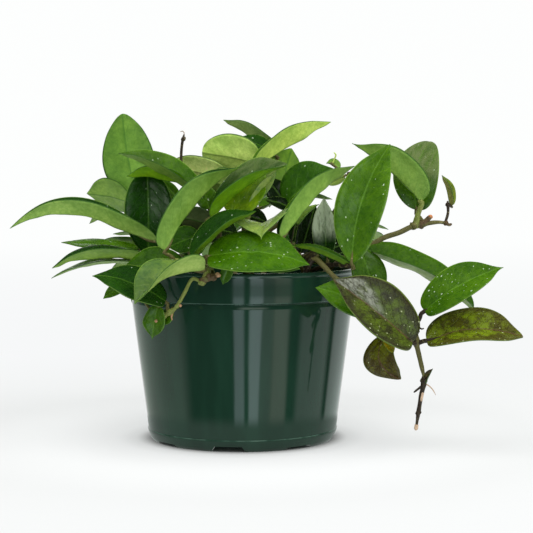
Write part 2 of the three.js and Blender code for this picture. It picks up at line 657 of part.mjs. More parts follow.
const vines = [...FRONT_VINES, ...BACK_VINES.map(backVine)];
const plant = new THREE.Group();
plant.add(meshOf(pot(), "pot", POT_GREEN, 0.3));
plant.add(meshOf(pottingMix(vines), "potting_mix", MIX_BROWN, 0.95));
for (const vine of vines) plant.add(meshOf(vineSolid(vine), vine.name, vine.color ?? LEAF_GREEN, 0.4));

export default plant;
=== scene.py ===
"""A potted hoya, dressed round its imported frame. Metres, +Z up, and the front of the plant faces -Y.

The places of the stems and leaves are in millimetres, as the frame's source has them.
"""

import math
from types import SimpleNamespace

import bpy
import numpy as np
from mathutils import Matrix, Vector


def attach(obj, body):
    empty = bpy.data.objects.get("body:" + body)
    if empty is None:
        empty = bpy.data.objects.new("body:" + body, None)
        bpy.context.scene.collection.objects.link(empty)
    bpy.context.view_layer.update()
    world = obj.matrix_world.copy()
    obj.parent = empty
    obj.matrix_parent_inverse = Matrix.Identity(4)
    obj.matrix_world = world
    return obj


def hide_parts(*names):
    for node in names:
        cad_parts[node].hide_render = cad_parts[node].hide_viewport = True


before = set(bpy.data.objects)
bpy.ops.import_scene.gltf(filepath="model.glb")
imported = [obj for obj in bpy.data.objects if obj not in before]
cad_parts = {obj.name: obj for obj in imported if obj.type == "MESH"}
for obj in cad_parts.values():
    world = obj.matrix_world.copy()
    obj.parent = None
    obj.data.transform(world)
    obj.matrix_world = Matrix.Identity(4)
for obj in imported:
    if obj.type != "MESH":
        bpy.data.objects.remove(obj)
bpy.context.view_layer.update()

MM = 0.001

# Camera: its place and tilt, and how long its lens is for a picture of this many pixels
CAMERA_PLACE = (16.6, -1000, 171.4)
CAMERA_TILT = 3.07
PICTURE_SIZE = 533
FOCAL_PIXELS = 1452
SENSOR_WIDTH = 36

# Pot
POT_HEIGHT = 117.2
RIM_RADIUS = 77.5
BAND_FOOT = 97.5
LIP_FOOT = 115
LIP_RADIUS = 78.2
TOP_RADIUS = 76.3
BASE_RADIUS = 65
BASE_RING_LEVEL = 7.3
WALL = 2.2
GROOVE_DEPTH = 0.9
FLOOR_TOP = 8.6
FLOOR_UNDERSIDE = 6
FOOT_RADIUS = 62.4
FOOT_WIDTH = 4.4
PAD_RADIUS = 16
NOTCH_TURN = -97.6
NOTCH_HALF_WIDTH = 10.5
NOTCH_SLANT = 1.5
NOTCH_HEIGHTS = (3.6, 1.9)
NOTCHES = 8
DRAIN_HOLES = 6
DRAIN_HOLE_RADIUS = 4.5
DRAIN_HOLE_RING = 44
DRAIN_HOLE_SIDES = 32
POT_SEED = 5
POT_SEGMENTS = 192
POT_UNEVEN = 0.07
POT_WAVELENGTH = 26
POT_SHARP_EDGE = 40
# Heights of the thin pale lines painted on the pot's edges as highlights
HIGHLIGHT_LINE_LEVELS = (7.7, 97.7, 115.2)

# Potting mix. Crumbs: the height, wavelength and number of the waves that they are made of
SOIL_SEED = 17
SOIL_LEVEL = 100
SOIL_RADIUS = 73.9
SOIL_BOTTOM_RADIUS = 62.8
SOIL_BOTTOM = 9
SOIL_UNEVEN = 1.3
SOIL_SEGMENTS = 150
SOIL_RINGS = 52
CRUMBS = ((0.9, 9, 7), (0.5, 3.4, 9))
CHIPS = 420
CHIP_RINGS = 4
CHIP_SIDES = 7
CHIP_SHARP_EDGE = 35

# Blades. Waves: height and wavelength. Midrib: how deep its groove or high its ridge is, and how wide
ROWS = 44
COLUMNS = 27
BLADE_MIDDLE = 1.15
BLADE_EDGE = 0.34
END_HALF_WIDTH = 0.22
FOLD_ROUNDING = 0.1
WAVES = 1.6
VEIN_SPACING = 7.5
VEIN_SLANT = 1.15
FINE_WAVE = (0.22, 13)
BROAD_WAVE = (0.4, 34)
QUILTING = 0.07
EDGE_CURL = 0.45
MIDRIB_GROOVE = (0.3, 0.8)
MIDRIB_RIDGE = (0.55, 0.75)
LEAF_SKINS = ("top", "under", "mottled_top")

# Stems
VINE_SEED = 100
STEM_FOOT = 86
STEM_COLLAR = 103
TUBE_SIDES = 12
TUBE_STEP = 1.6
TUBE_FIRST_SIDE = (0.31, 0.87, 0.38)
STALK_SIDES = 10
STALK_RADIUS = 1.15
STALK_ROOT = 1.2
STALK_SUNK = 0.75
NODE_REACH = 2.6
NODE_SWELL = 0.38
KNOB_RINGS = 9
KNOB_SIDES = 14
KNOB_LUMPS = 0.13

# Vines on the far side
BACK_FOOT = 30
BACK_RADIUS = 1.8
BACK_STALK = 8
BACK_LEAF_LENGTH = 46
PAIR_STEP = 0.3

# Floor: its rings in metres, its own colours, and how dark it looks in the pot
FLOOR_RINGS = (0.06, 0.12, 0.25, 0.5, 1, 2, 4, 8, 16, 40)
FLOOR_SIDES = 96
BACKGROUND = (0.985, 0.995, 0.99)
FLOOR_GLOW = (0.925, 0.937, 0.942)
FLOOR_IN_POT = (0.46, 0.5, 0.48)
FLOOR_DIFFUSE = (0.34, 0.345, 0.35)
FLOOR_OWN_LIGHT = (0.4, 0.405, 0.41)

# What shiny faces see. Windows and walls in front: left end, right end and softness, as bearings from the
# pot, and colour. High window: left end, right end, lowest and highest upward share, and colour.
ROOM = (0.06, 0.07, 0.06)
WINDOWS = [
    (-160, -66, 10, (0.6, 0.66, 0.6)),
    (-9, 3, 1.5, (1.35, 1.6, 1.7)),
    (8.5, 21, 1.5, (1.9, 2.25, 2.35)),
    (21, 33, 2, (0.62, 0.7, 0.66)),
    (33, 52, 3, (1.1, 1.15, 1.0)),
    (66, 108, 5, (0.72, 0.8, 0.76)),
    (117, 160, 3, (0.9, 1.0, 0.96)),
]
HIGH_WINDOW = (-2, 24, 0.24, 0.5, (2.6, 2.8, 2.5))

# Light on everything else, and the lamps: name, place, size, power and colour
LIGHT_BELOW = (0.66, 0.67, 0.62)
LIGHT_ABOVE = (1.16, 1.17, 1.14)
LAMPS = [
    ("key", (-0.2, -0.55, 1.6), 1.3, 14.5, (1, 0.99, 0.96)),
    ("fill", (0.9, -0.5, 0.8), 1.0, 6.5, (1, 0.99, 0.97)),
]
LAMP_TARGET = (0, 0, 0.12)


def colour(red, green, blue):
    """A screen colour of 0 to 255 as the light that a shader works with."""
    shares = [c / 255 for c in (red, green, blue)]
    return tuple(((c + 0.055) / 1.055) ** 2.4 if c > 0.04045 else c / 12.92 for c in shares)


# Leaf and stem colours
DEEP = colour(26, 64, 8)
GREEN = colour(54, 94, 6)
MID_GREEN = colour(40, 82, 6)
BRIGHT = colour(58, 101, 4)
DARK = colour(20, 60, 4)
# Painted light: a brighter green that lifts undersides which sit in shade
PAINTED_LIGHT_GREEN = colour(116, 166, 14)
# Painted shade: near-black green for leaves deep inside the plant
PAINTED_SHADE_GREEN = colour(10, 30, 3)
GREY_UNDER = colour(76, 92, 54)
OLIVE = colour(72, 72, 17)
BRONZE = colour(50, 52, 28)
UMBER = colour(66, 58, 10)
GREY_GREEN = colour(82, 113, 52)
PALE = colour(118, 154, 60)
PALE_BRIGHT = colour(140, 176, 76)
PALE_GREEN = colour(94, 136, 38)
PALE_DEEP = colour(102, 142, 20)
PALE_WARM = colour(186, 212, 100)
PALE_COOL = colour(142, 170, 88)
LIT_THROUGH = colour(226, 246, 150)
LIT_SOFTLY = colour(208, 238, 122)
YELLOWED = colour(124, 116, 10)
YOUNG = colour(106, 136, 62)
BUD_GREEN = colour(104, 124, 22)
BUD_OLIVE = colour(138, 136, 76)
STEM_OLIVE = colour(92, 90, 46)
STEM_GREEN = colour(122, 136, 62)
STEM_BROWN = colour(84, 66, 42)
STEM_DARK = colour(44, 34, 26)
STEM_SHADED = colour(62, 56, 30)
SCAR = colour(204, 176, 150)
ROOT_PINK = colour(176, 138, 104)
ORANGE = colour(196, 122, 76)
CURL = colour(190, 176, 168)

# Colours of marks, rims and washes; the pale rims of upper faces are painted highlights, and the silvery
# washes are partly painted sheen
MIDRIB = colour(110, 160, 50)
# Pale line painted along the edge of an upper face as a highlight
RIM_HIGHLIGHT = colour(130, 165, 70)
FLECK = colour(196, 212, 186)
# Silvery streaks on upper faces: partly the leaf's own colour, partly painted sheen; the bright one paints a
# reflection
SILVER_SHEEN_DULL = colour(98, 112, 66)
SILVER_SHEEN_BRIGHT = colour(176, 190, 162)
UNDER_MIDRIB = colour(52, 104, 14)
UNDER_RIM = colour(40, 84, 14)
UNDER_SPOT = colour(50, 80, 30)
MOTTLED_MIDRIB = colour(92, 62, 50)
# Pale line painted along the edge of a mottled upper face as a highlight
MOTTLED_RIM_HIGHLIGHT = colour(104, 124, 46)
MOTTLED_FLECK = colour(196, 206, 160)
# Painted sheen beside the midrib of mottled leaves
MOTTLED_SILVER_SHEEN = colour(136, 140, 127)
MOTTLED_BROWN = colour(52, 40, 20)
STEM_STREAK = colour(66, 56, 34)
STEM_DOT = colour(150, 144, 96)
POT_DARK = colour(19, 47, 35)
POT_LIGHT = colour(24, 54, 41)
# Painted highlight: the pale lines along the pot's edges
POT_EDGE_HIGHLIGHT = colour(96, 124, 112)
# Potting mix colours, kept dark partly as painted shade inside the pot
SOIL_DARK = colour(30, 22, 17)
SOIL_LIGHT = colour(74, 56, 40)
SOIL_GRAIN = colour(112, 88, 62)
CHIP_DARK = colour(52, 36, 26)
CHIP_LIGHT = colour(104, 76, 52)
UNCHANGED = (1.0, 1.0, 1.0)

# A leaf unless its row says otherwise. A peak below 1 puts the widest place nearer the base, and the higher
# an end's blunt is, the more pointed that end. drip thins the tip and droop lowers it, hook lifts the blade
# past its middle, sweep curves it sideways, twist turns it along its length, wave ripples its edges, and
# uneven folds one half more than the other. root, bend and merge say how its stalk runs.
PLAIN_FORM = dict(
    uneven=0, hook=0, sweep=0, twist=0, wave=0.05, base_blunt=0.5, tip_blunt=0.8, peak=0.86, drip=0.3,
    droop=0, top=GREEN, under=PALE, flecks=0.5, silver=0, mottled=False, stem=STEM_OLIVE,
    stalk=STALK_RADIUS, root=None, bend=5, merge=(0.04, 0.12),
)


def leaf(base, tip, upper, width, fold=10, bow=0.08, **form):
    """One leaf: where its blade starts and ends, which way its upper face looks, its width, the fold of each
    half in degrees, its bow as a share of its length, and the rest of its form."""
    return SimpleNamespace(**{**PLAIN_FORM, **form}, base=base, tip=tip, upper=upper, width=width,
                           fold=fold, bow=bow)


def stem(radius, points, tint=STEM_OLIVE, end=0.6):
    """One stem: its radius, the places it passes, its colour, and its end's radius as a share of the rest."""
    return SimpleNamespace(radius=radius, points=points, tint=tint, end=end)


def foot(x, y):
    """The straight start of a stem in the mix."""
    return [(x, y, STEM_FOOT), (x, y, STEM_COLLAR)]


FRONT_VINES = {}

FRONT_VINES["vine_left"] = dict(stems=[
    stem(1.8, [*foot(-34, -14), (-42, -16, 112), (-50, -18, 124), (-58, -15, 137), (-66, -12, 148),
               (-74, -10, 159)]),
], leaves=[
    leaf((-56, -46, 136.6), (-149, -62, 146.6), (0, -0.22, 1), 28.5, 56, 0.061, uneven=-8, hook=0.083,
         top=DEEP, under=PALE_BRIGHT, droop=0.01),
    leaf((-76, -8, 162), (-108, 8, 168), (-0.1, 0.8, 0.6), 30, 12, 0.05),
    leaf((-69, -20, 131.6), (-120, -34, 135.6), (0, -0.28, 1), 24, 5, 0),
    leaf((-63, -12, 132), (-99, -4, 134), (0, 0.5, 0.8), 20, 10, 0, under=PALE_DEEP),
    leaf((-61, -42, 124), (-123, -56, 119.6), (0, -0.12, 1), 30, 33, 0.06, uneven=-5, hook=0.02, top=DEEP),
    leaf((-61, -36, 120), (-125, -46, 112.4), (0, -0.04, 1), 21, 12, 0.09, hook=0.012),
])

FRONT_VINES["vine_front_left"] = dict(stems=[
    stem(1.7, [*foot(-18, -44), (-18, -56, 112), (-19, -70, 120), (-20, -80, 121), (-22, -86, 116),
               (-26, -86, 112)], STEM_GREEN),
    stem(2.0, [(-25, -86, 113), (-20, -87, 115), (-14, -87, 117)], STEM_BROWN, 0.75),
    stem(1.3, [(-19, -72, 120.6), (-30, -78, 123), (-43, -79, 127)], STEM_GREEN),
    stem(1.15, [(-25, -86, 113), (-30, -84, 114.5), (-35, -84, 106), (-39, -82, 99), (-42, -81, 95),
                (-47, -79, 91.5), (-52, -77, 88.5)], STEM_GREEN),
    stem(0.5, [(-43, -80, 93), (-43.7, -80.6, 90.4), (-43.4, -80.8, 88)], ROOT_PINK, 0.8),
], knobs=[
    ((-40, -82, 97), 1.6, STEM_GREEN),
    ((-24, -86, 112.5), 2.6, STEM_GREEN),
    ((-17.5, -87.2, 116), 2.2, STEM_BROWN),
    ((-21.5, -88, 114.4), 1.7, STEM_OLIVE),
    ((-19.6, -88.4, 117), 1.4, STEM_BROWN),
    ((-16.4, -88, 114.6), 1.5, STEM_BROWN),
    ((-44.5, -80, 93.6), 1.9, STEM_GREEN),
    ((-48.4, -78.6, 91), 2.0, STEM_GREEN),
    ((-38, -82.6, 97.4), 1.0, ROOT_PINK),
    ((-53.6, -78.6, 87), 1.1, ROOT_PINK),
    ((-14, -87.4, 117.2), 1.7, ROOT_PINK),
], leaves=[
    leaf((-47.4, -80, 132), (1, -58, 186), (-0.72, -0.05, 0.68), 33.5, 60, 0.078, hook=0.01, twist=-50,
         base_blunt=0.32, tip_blunt=1.25, top=DEEP),
    leaf((-23, -86, 120), (-65, -104, 100), (-0.35, -0.26, 0.9), 36, 42, 0.13, twist=52, base_blunt=0.35,
         top=GREY_GREEN, under=PALE_COOL),
    leaf((-48, -78, 99), (-94, -80, 116), (-0.3, -0.45, 0.85), 34, 8, 0.11, base_blunt=0.4, tip_blunt=1,
         top=DEEP),
    leaf((-72, -66, 110), (-88, -72, 101), (-0.3, -0.8, 0.4), 10, 20, 0.05),
    leaf((-37, -61, 122), (-77, -61, 119), (0.1, -0.7, 0.75), 28, 15, 0.06),
    leaf((-52.6, -77, 96), (-56.4, -76, 75.4), (-0.2, -1, 0.1), 15, 20, base_blunt=0.3, tip_blunt=1.3,
         wave=0.14),
    leaf((-44, -76, 94.6), (-50.2, -75, 83.6), (-0.2, -1, 0.1), 9.5, 20, tip_blunt=1.2, top=BRIGHT),
])

FRONT_VINES["vine_tall_left"] = dict(stems=[
    stem(1.9, [*foot(-26, -6), (-30, -12, 118), (-34, -18, 145), (-35, -26, 160),
               (-36, -31, 168)], STEM_BROWN),
    stem(1.6, [(-34, -18, 145), (-46, -12, 156), (-58, -10, 164), (-66, -10, 172), (-66, -16, 182)]),
    stem(1.5, [(-35, -26, 160), (-24, -16, 170), (-14, -9, 177)]),
    stem(1.0, [(-35.5, -29.5, 164.5), (-40.3, -16, 182), (-41.3, -12, 194), (-40.3, -12, 204),
               (-39.3, -12, 208)], STEM_DARK),
    stem(0.4, [(-39.5, -12, 207.4), (-39.2, -12, 209.2), (-40.3, -12, 210.3),
               (-41.9, -12, 209.9)], CURL, 0.4),
], knobs=[
    ((-39.8, -12, 205), 1.7, STEM_DARK),
], leaves=[
    leaf((-71.3, -4, 165), (-82.8, 6, 223), (0, 1, 0), 36.5, 8, 0.05, sweep=0.035, base_blunt=0.6,
         tip_blunt=0.56, drip=0.1, under=PALE_GREEN),
    leaf((-21.4, -34, 160.6), (-81, -40, 194.6), (0.46, -0.22, 0.86), 31, 44, 0.03, uneven=9, hook=0.02,
         top=BRIGHT, silver=0.15, root=(-32, -16, 140), stem=STEM_BROWN),
    leaf((-37, -32, 174.5), (-76.4, -32, 179.6), (0.1, 0, 1), 24, 45, 0.05, under=PAINTED_LIGHT_GREEN),
    leaf((-63.6, -22, 182), (-62.6, -28, 124), (0.2, -1, 0.1), 33.5, 12, 0.05, top=DARK),
    leaf((-10, -8, 179.6), (-54, -2, 186.6), (0, 0.75, 0.65), 27, 10, 0, under=LIT_THROUGH),
    leaf((-42, -13, 162), (-56, -12, 178), (0.2, -0.8, 0.4), 9, 12, stalk=0.8),
    leaf((-35, -14, 141), (-48, -12, 152), (0.2, -0.8, 0.4), 9, 12, top=PAINTED_SHADE_GREEN, stalk=0.8),
])

FRONT_VINES["vine_back_top"] = dict(stems=[
    stem(1.8, [*foot(4, 8), (2, 6, 128), (4, 4, 155), (8, 6, 176), (17, 12, 185),
               (23, 18, 187.6)], STEM_GREEN, 0.3),
    stem(1.6, [(2, 6, 130), (18, 0, 142), (29, -3, 151), (31, -5, 157)]),
], leaves=[
    leaf((30, 26, 190.5), (-14, 34, 220), (0.45, 0.1, 0.9), 27, 35, 0.025, under=PALE_COOL),
    leaf((23, 12, 194), (-3, 14, 207), (0.3, -0.6, 0.8), 18, 20, 0.05, top=DEEP),
    leaf((13, 2, 188.4), (-28, 10, 196.8), (-0.1, 0.85, 0.5), 35, 10, 0.02, tip_blunt=0.4, drip=0,
         under=LIT_SOFTLY),
    leaf((8, -10, 184.6), (61, 4, 217.2), (-0.5, -0.02, 0.86), 29.5, 58, 0.022, under=PALE_WARM),
    leaf((28.6, 14, 174), (34, 22, 199.6), (-0.4, 0.9, 0.3), 27, 10, 0.06, tip_blunt=0.6, under=PALE_DEEP,
         root=(8, 6, 176), stem=PALE_DEEP),
    leaf((30, -6, 160), (62, -10, 185), (-0.4, -0.8, 0.6), 36, 15, 0.12, top=MID_GREEN),
    leaf((-3, 10, 154), (18, 12, 147), (0, -0.8, 0.5), 16, top=PAINTED_SHADE_GREEN, flecks=0),
    leaf((29, -2, 162), (16, 2, 178), (0, -0.8, 0.5), 16, top=PAINTED_SHADE_GREEN, flecks=0, stalk=0.8),
    leaf((-4, 0, 140), (-44, -6, 144), (0, -0.8, 0.6), 26, 15, top=PAINTED_SHADE_GREEN, flecks=0),
    leaf((38, -6, 156), (15, -8, 164), (0, -0.8, 0.6), 10, 12, top=PAINTED_SHADE_GREEN, flecks=0, stalk=0.8),
])

FRONT_VINES["vine_middle"] = dict(stems=[
    stem(1.8, [*foot(-6, -30), (-10, -38, 120), (-15, -44, 142), (-16, -50, 154)]),
    stem(1.5, [(-10, -38, 120), (0, -44, 136), (2, -50, 149), (4, -48, 159), (2, -42, 166)]),
], leaves=[
    leaf((-19, -66, 153), (30, -58, 187), (-0.5, -0.14, 0.85), 35, 40, 0.055, uneven=-9, hook=0.01, twist=-48,
         tip_blunt=0.62, peak=0.95, top=MID_GREEN, silver=0.6, under=PAINTED_LIGHT_GREEN),
    leaf((-7, -52, 155), (16, -46, 182), (-0.3, -0.8, 0.4), 30, 12, top=PALE_DEEP),
    leaf((3, -40, 167), (24, -38, 187), (-0.5, 0.8, 0.5), 22, 15, 0.06, under=PALE_COOL),
    leaf((-21, -44, 158), (-26, -40, 174), (0, -1, 0.3), 15, 25, 0.04),
    leaf((-1, -34, 171), (-25, -30, 176), (0, 0.8, 0.5), 26, 12, 0.05, under=PALE_COOL),
    leaf((-18, -44, 148), (-42, -44, 152), (0, 0.75, 0.6), 22, 10, 0.05, top=DARK, under=GREY_UNDER),
    leaf((-27, -52, 140), (-47, -50, 133), (0.2, -0.75, 0.7), 22, top=MID_GREEN),
    leaf((5.5, -56, 159.5), (23, -52, 182), (0.3, -0.7, 0.5), 10, 42, 0.03, top=PALE_COOL, under=PALE_COOL,
         flecks=0),
])

FRONT_VINES["vine_front"] = dict(stems=[
    stem(1.8, [*foot(8, -44), (6, -57, 113), (0, -70, 121), (-10, -78, 124), (-26, -81, 126)]),
    stem(1.4, [(6, -57, 113), (10, -54, 130), (12, -50, 143)]),
], leaves=[
    leaf((-30, -84, 128), (10, -78, 157), (-0.58, -0.34, 0.76), 31, 32, 0.055, hook=0.01, top=DEEP,
         flecks=1.6, under=PALE_DEEP),
    leaf((-20, -88, 128.6), (43.6, -88, 123.4), (0, -0.68, 0.73), 37.5, 7, 0.12, base_blunt=0.3,
         tip_blunt=0.9, top=BRIGHT, flecks=1.9),
    leaf((14, -50, 147.5), (13.4, -96, 139.8), (0, -0.1, 1), 44.5, 24, 0.1, uneven=-10, tip_blunt=1.7,
         top=YOUNG, under=YOUNG, flecks=0, silver=0.25),
    leaf((14, -80, 121), (38, -80, 120.4), (0, -0.6, 0.8), 13, 15, 0.05),
    leaf((-6, -86, 124), (-11, -85, 111), (-0.2, -1, 0.1), 8, top=BRIGHT),
])

FRONT_VINES["vine_right_middle"] = dict(stems=[
    stem(1.9, [*foot(36, -24), (42, -34, 115), (50, -42, 135), (59, -45, 152), (69, -45, 168),
               (71, -42, 182)], STEM_SHADED),
    stem(1.3, [(42, -34, 115), (53, -45, 120), (60, -55, 122), (68, -66, 122), (72, -70, 121)], STEM_DARK),
    stem(1.2, [(42, -34, 115), (38, -50, 122), (30, -68, 134)]),
    stem(0.5, [(60, -40, 187.5), (61.4, -40, 191), (62.4, -40, 193.6), (61, -40, 195.2)], PALE_WARM, 0.5),
], leaves=[
    leaf((26, -78, 140), (74, -52, 186), (-0.7, -0.04, 0.71), 29, 54, 0.04, hook=0.01, twist=-14),
    leaf((68, -44, 180), (56, -44, 174), (0, 0.9, 0.5), 9, 10, 0.02, under=PALE_WARM),
    # Its high silvery amount paints a bright reflection over the upper part of this leaf
    leaf((56.5, -50, 125), (54.4, -46, 165.6), (-0.3, -0.9, 0.2), 18.5, 32, 0.03, top=DEEP, silver=1.35,
         flecks=0.1),
    leaf((71.2, -72, 124), (96.4, -60, 200), (-0.15, -1, 0.2), 33.5, 20, 0.04, sweep=-0.07, base_blunt=0.75,
         tip_blunt=0.72, flecks=0.6),
    leaf((78, -52, 132.5), (88, -54, 95), (0.2, -0.9, 0.5), 24.5, 10, 0.06, base_blunt=0.82),
    leaf((39, -40, 129), (49, -36, 161), (0.2, -1, 0.2), 16, 20, 0.03, top=PAINTED_SHADE_GREEN),
    leaf((52, -26, 127), (75, -20, 135), (0, -0.8, 0.6), 13, 12, top=PAINTED_SHADE_GREEN, stalk=0.8),
    leaf((34, -22, 136), (37, -18, 154), (0.2, -1, 0.2), 9, 12, top=PAINTED_SHADE_GREEN, stalk=0.8),
    leaf((71, -66, 122), (32, -62, 135), (0.2, -0.2, 1), 12, 45, 0.03, under=PALE_DEEP),
    leaf((64, -40, 184), (56, -40, 188), (0, 0.5, 0.9), 9, 60, 0.2, top=BRIGHT),
    leaf((37, -60, 148), (51, -46, 161), (-0.5, -0.6, 0.6), 7, 30, top=PALE, flecks=0, stalk=0.6,
         stem=STEM_DARK),
])

FRONT_VINES["vine_right_trailing"] = dict(mottled=True, stems=[
    # This stem runs inside the plant, and its dark colour there is painted shade
    stem(1.7, [*foot(32, -42), (40, -54, 112), (47, -62, 127), (48.4, -62.8, 126.4)], STEM_DARK, 1),
    stem(1.7, [(46.4, -61.4, 126.7), (48.4, -62.8, 126.3), (54, -66, 121), (61, -68, 114), (72, -66, 106),
               (90, -62, 98)], STEM_OLIVE, 0.8),
    stem(1.7, [(89, -62, 98.4), (106, -60, 91), (112, -61, 82)]),
    stem(1.6, [(111.5, -61, 83), (113.6, -62, 72), (116.2, -62, 61), (119, -62, 49)]),
    stem(1.5, [(119, -62, 49.5), (118.6, -62, 44), (117.3, -62, 38), (115.7, -62, 28),
               (114, -62, 16)], STEM_DARK),
    stem(0.8, [(118.5, -62, 44), (115.3, -62, 41.5), (112.4, -62, 39.2)], STEM_DARK),
    stem(1.0, [(118, -62.8, 39), (117.4, -62.9, 36), (116.9, -62.8, 33.5)], SCAR, 0.6),
    stem(1.4, [(114.3, -62, 18), (114, -62, 16), (113.7, -62, 14.4)], SCAR, 0.4),
    stem(0.35, [(119, -62, 45), (122, -62.4, 43.6), (124.6, -62.4, 41), (126.6, -62, 37.4)], SCAR, 0.4),
    stem(0.55, [(113.2, -62, 84), (115.2, -62.6, 82), (117, -62.8, 80.6), (118.6, -62.8, 81)], STEM_DARK),
    stem(0.45, [(113.2, -62, 82.5), (114.6, -63, 80), (115.8, -63.2, 78.6)], STEM_DARK),
], knobs=[
    ((113, -62, 74), 2.6, STEM_DARK),
    ((118.9, -62, 47), 2.3, STEM_DARK),
    ((115.4, -62, 26), 1.9, STEM_DARK),
], leaves=[
    leaf((110.6, -70, 72.6), (58.6, -84, 114), (0.3, -0.87, 0.38), 41.5, 29, 0.03, base_blunt=0.4,
         tip_blunt=0.72, top=BRONZE, mottled=True, silver=1, flecks=1, stem=STEM_DARK),
    leaf((96, -60, 92), (48, -70, 108), (0.1, -0.9, 0.4), 26, 10, 0.05, top=BRIGHT),
    leaf((119, -64, 92.1), (169.8, -62, 120.5), (-0.33, -0.75, 0.57), 30, 20, 0.11, base_blunt=0.36,
         tip_blunt=1.15, flecks=3.2, stalk=1.4, stem=STEM_DARK),
    leaf((120.6, -64, 73), (183, -62, 75.3), (0, -0.58, 0.8), 34.5, 20, 0.13, base_blunt=0.35, tip_blunt=0.6,
         top=OLIVE, mottled=True, flecks=1.3, stalk=1.5, stem=STEM_DARK),
    leaf((95.4, -56, 77), (103.4, -62, 47.6), (-0.1, -1, 0.1), 21, 15, 0.1, sweep=0.31, base_blunt=0.35,
         tip_blunt=0.5, top=UMBER, mottled=True, stem=STEM_DARK),
    leaf((93, -62, 73.4), (98.8, -65, 64.8), (0.2, -1, 0.3), 7.5, 34, top=YELLOWED, flecks=0, stalk=0.8,
         stem=STEM_DARK),
    leaf((119.6, -62, 44.4), (124.6, -62, 54.6), (-0.6, -0.6, 0.4), 5.6, 40, 0.1, top=STEM_DARK,
         under=STEM_DARK, mottled=True, stem=STEM_DARK),
])

FRONT_VINES["vine_right_reaching"] = dict(stems=[
    stem(1.7, [*foot(46, -14), (54, -22, 113), (68, -32, 125), (84.8, -40, 133.6), (94.7, -38, 139),
               (105, -36, 142.4), (113.7, -34, 146.3), (122, -32, 148), (132, -30, 149), (138, -28, 148)]),
    stem(0.9, [(136, -29, 148.5), (138, -28, 155), (138, -26, 163)], STEM_DARK),
    stem(1.7, [(120.5, -32.5, 148), (123.4, -32, 150.4), (125.4, -32, 152.4)], STEM_BROWN, 0.9),
    stem(1.0, [(136.5, -28.6, 148.4), (138.8, -28.2, 147.2), (140.6, -28, 147.8)], STEM_BROWN, 0.5),
], knobs=[
    ((114.5, -34, 146.8), 2.7, STEM_OLIVE),
    ((119.5, -32.5, 147.6), 2.9, STEM_BROWN),
    ((136.6, -28.5, 148.5), 1.9, STEM_BROWN),
    ((125.7, -32, 152.8), 1.5, ORANGE),
], leaves=[
    leaf((119, -36, 163), (73, -40, 201.2), (0.62, -0.04, 0.78), 37, 72, 0.05, base_blunt=0.4, tip_blunt=1.22,
         peak=0.75, stalk=1.7, stem=STEM_GREEN, root=(115.5, -34, 146), bend=0.8, merge=(0.012, 0.03)),
    leaf((117.8, -24, 157), (126.9, -12, 203.3), (-0.1, -1, 0.2), 30.6, sweep=-0.1, tip_blunt=0.45, drip=0,
         stalk=1.3, silver=0.85, root=(120.5, -32, 148)),
    leaf((140.8, -24, 160), (134, -26, 180.4), (0.8, -0.5, 0.2), 11, 60, 0.03, top=BUD_GREEN, under=BUD_OLIVE,
         flecks=0, stem=STEM_DARK),
    leaf((82, -46, 129.8), (153.6, -38, 90.6), (0.48, -0.24, 0.84), 36, 38, 0.042, uneven=-7, hook=0.014,
         tip_blunt=0.42, drip=0, under=PALE_COOL),
])

# Each vine on the far side climbs out of the mix, leans over the rim and carries two pairs of leaves and one
# at its end. A row is its name, bearing, reach, lift, first pair's share of the way, spread, dip and seed.
BACK_VINES = [
    ("vine_back_left_low", 126, 92, 0, 0.6, 26, 0.5, 11),
    ("vine_back_left_high", 143, 90, 27, 0.5, 38, 0, 23),
    ("vine_back_low", 99, 112, 16, 0.66, 34, 0.3, 37),
    ("vine_back_high", 85, 92, 60, 0.6, 60, 0.15, 41),
    ("vine_back_right_low", 67, 106, 0, 0.6, 38, 0.4, 59),
    ("vine_back_right_high", 44, 84, 22, 0.52, 44, 0.1, 67,
     [leaf((43, 28, 124), (82, 18, 125), (0, -0.85, 0.5), 20, 12, top=PAINTED_SHADE_GREEN)]),
]


def unit(v):
    return v / np.maximum(np.linalg.norm(v, axis=-1, keepdims=True), 1e-9)


def smooth(value, low, high):
    """0 below low, 1 above high and a smooth step between them."""
    x = np.clip((value - low) / (high - low), 0, 1)
    return x * x * (3 - 2 * x)


def seeded(seed):
    """The frame's own numbers from 0 to 1, the same at every run."""
    state = seed
    while True:
        state = (state * 16807) % 2147483647
        yield state / 2147483647


def ripples(places, wavelength, rng, waves=7):
    """A smooth uneven height of about -1 to 1 at each place."""
    height = np.zeros(places.shape[:-1])
    for _ in range(waves):
        direction = unit(rng.normal(size=places.shape[-1]))
        length = wavelength * rng.uniform(0.7, 1.5)
        height += np.sin(places @ direction * (2 * np.pi / length) + rng.uniform(0, 6.28))
    return height / math.sqrt(waves)


def smooth_line(points, steps):
    """Places on the centripetal Catmull-Rom line through the points, evenly spaced in its own parameter."""
    p = np.array(points, float)
    p = np.vstack([2 * p[0] - p[1], p, 2 * p[-1] - p[-2]])
    last = len(points) - 1
    at = np.linspace(0, last, steps + 1)
    whole = np.minimum(at.astype(int), last - 1)
    w = (at - whole)[:, None]
    before, start, end, after = (p[whole + k] for k in range(4))
    d0, d1, d2 = (np.linalg.norm(b - a, axis=1)[:, None] ** 0.5
                  for a, b in ((before, start), (start, end), (end, after)))
    slope = d1 * ((start - before) / d0 - (end - before) / (d0 + d1) + (end - start) / d1)
    slope_end = d1 * ((end - start) / d1 - (after - start) / (d1 + d2) + (after - end) / d2)
    square = 3 * (end - start) - 2 * slope - slope_end
    cube = 2 * (start - end) + slope + slope_end
    return start + slope * w + square * w * w + cube * w ** 3


def distances(line):
    """How far along the line each of its places is."""
    return np.concatenate([[0], np.cumsum(np.linalg.norm(np.diff(line, axis=0), axis=1))])


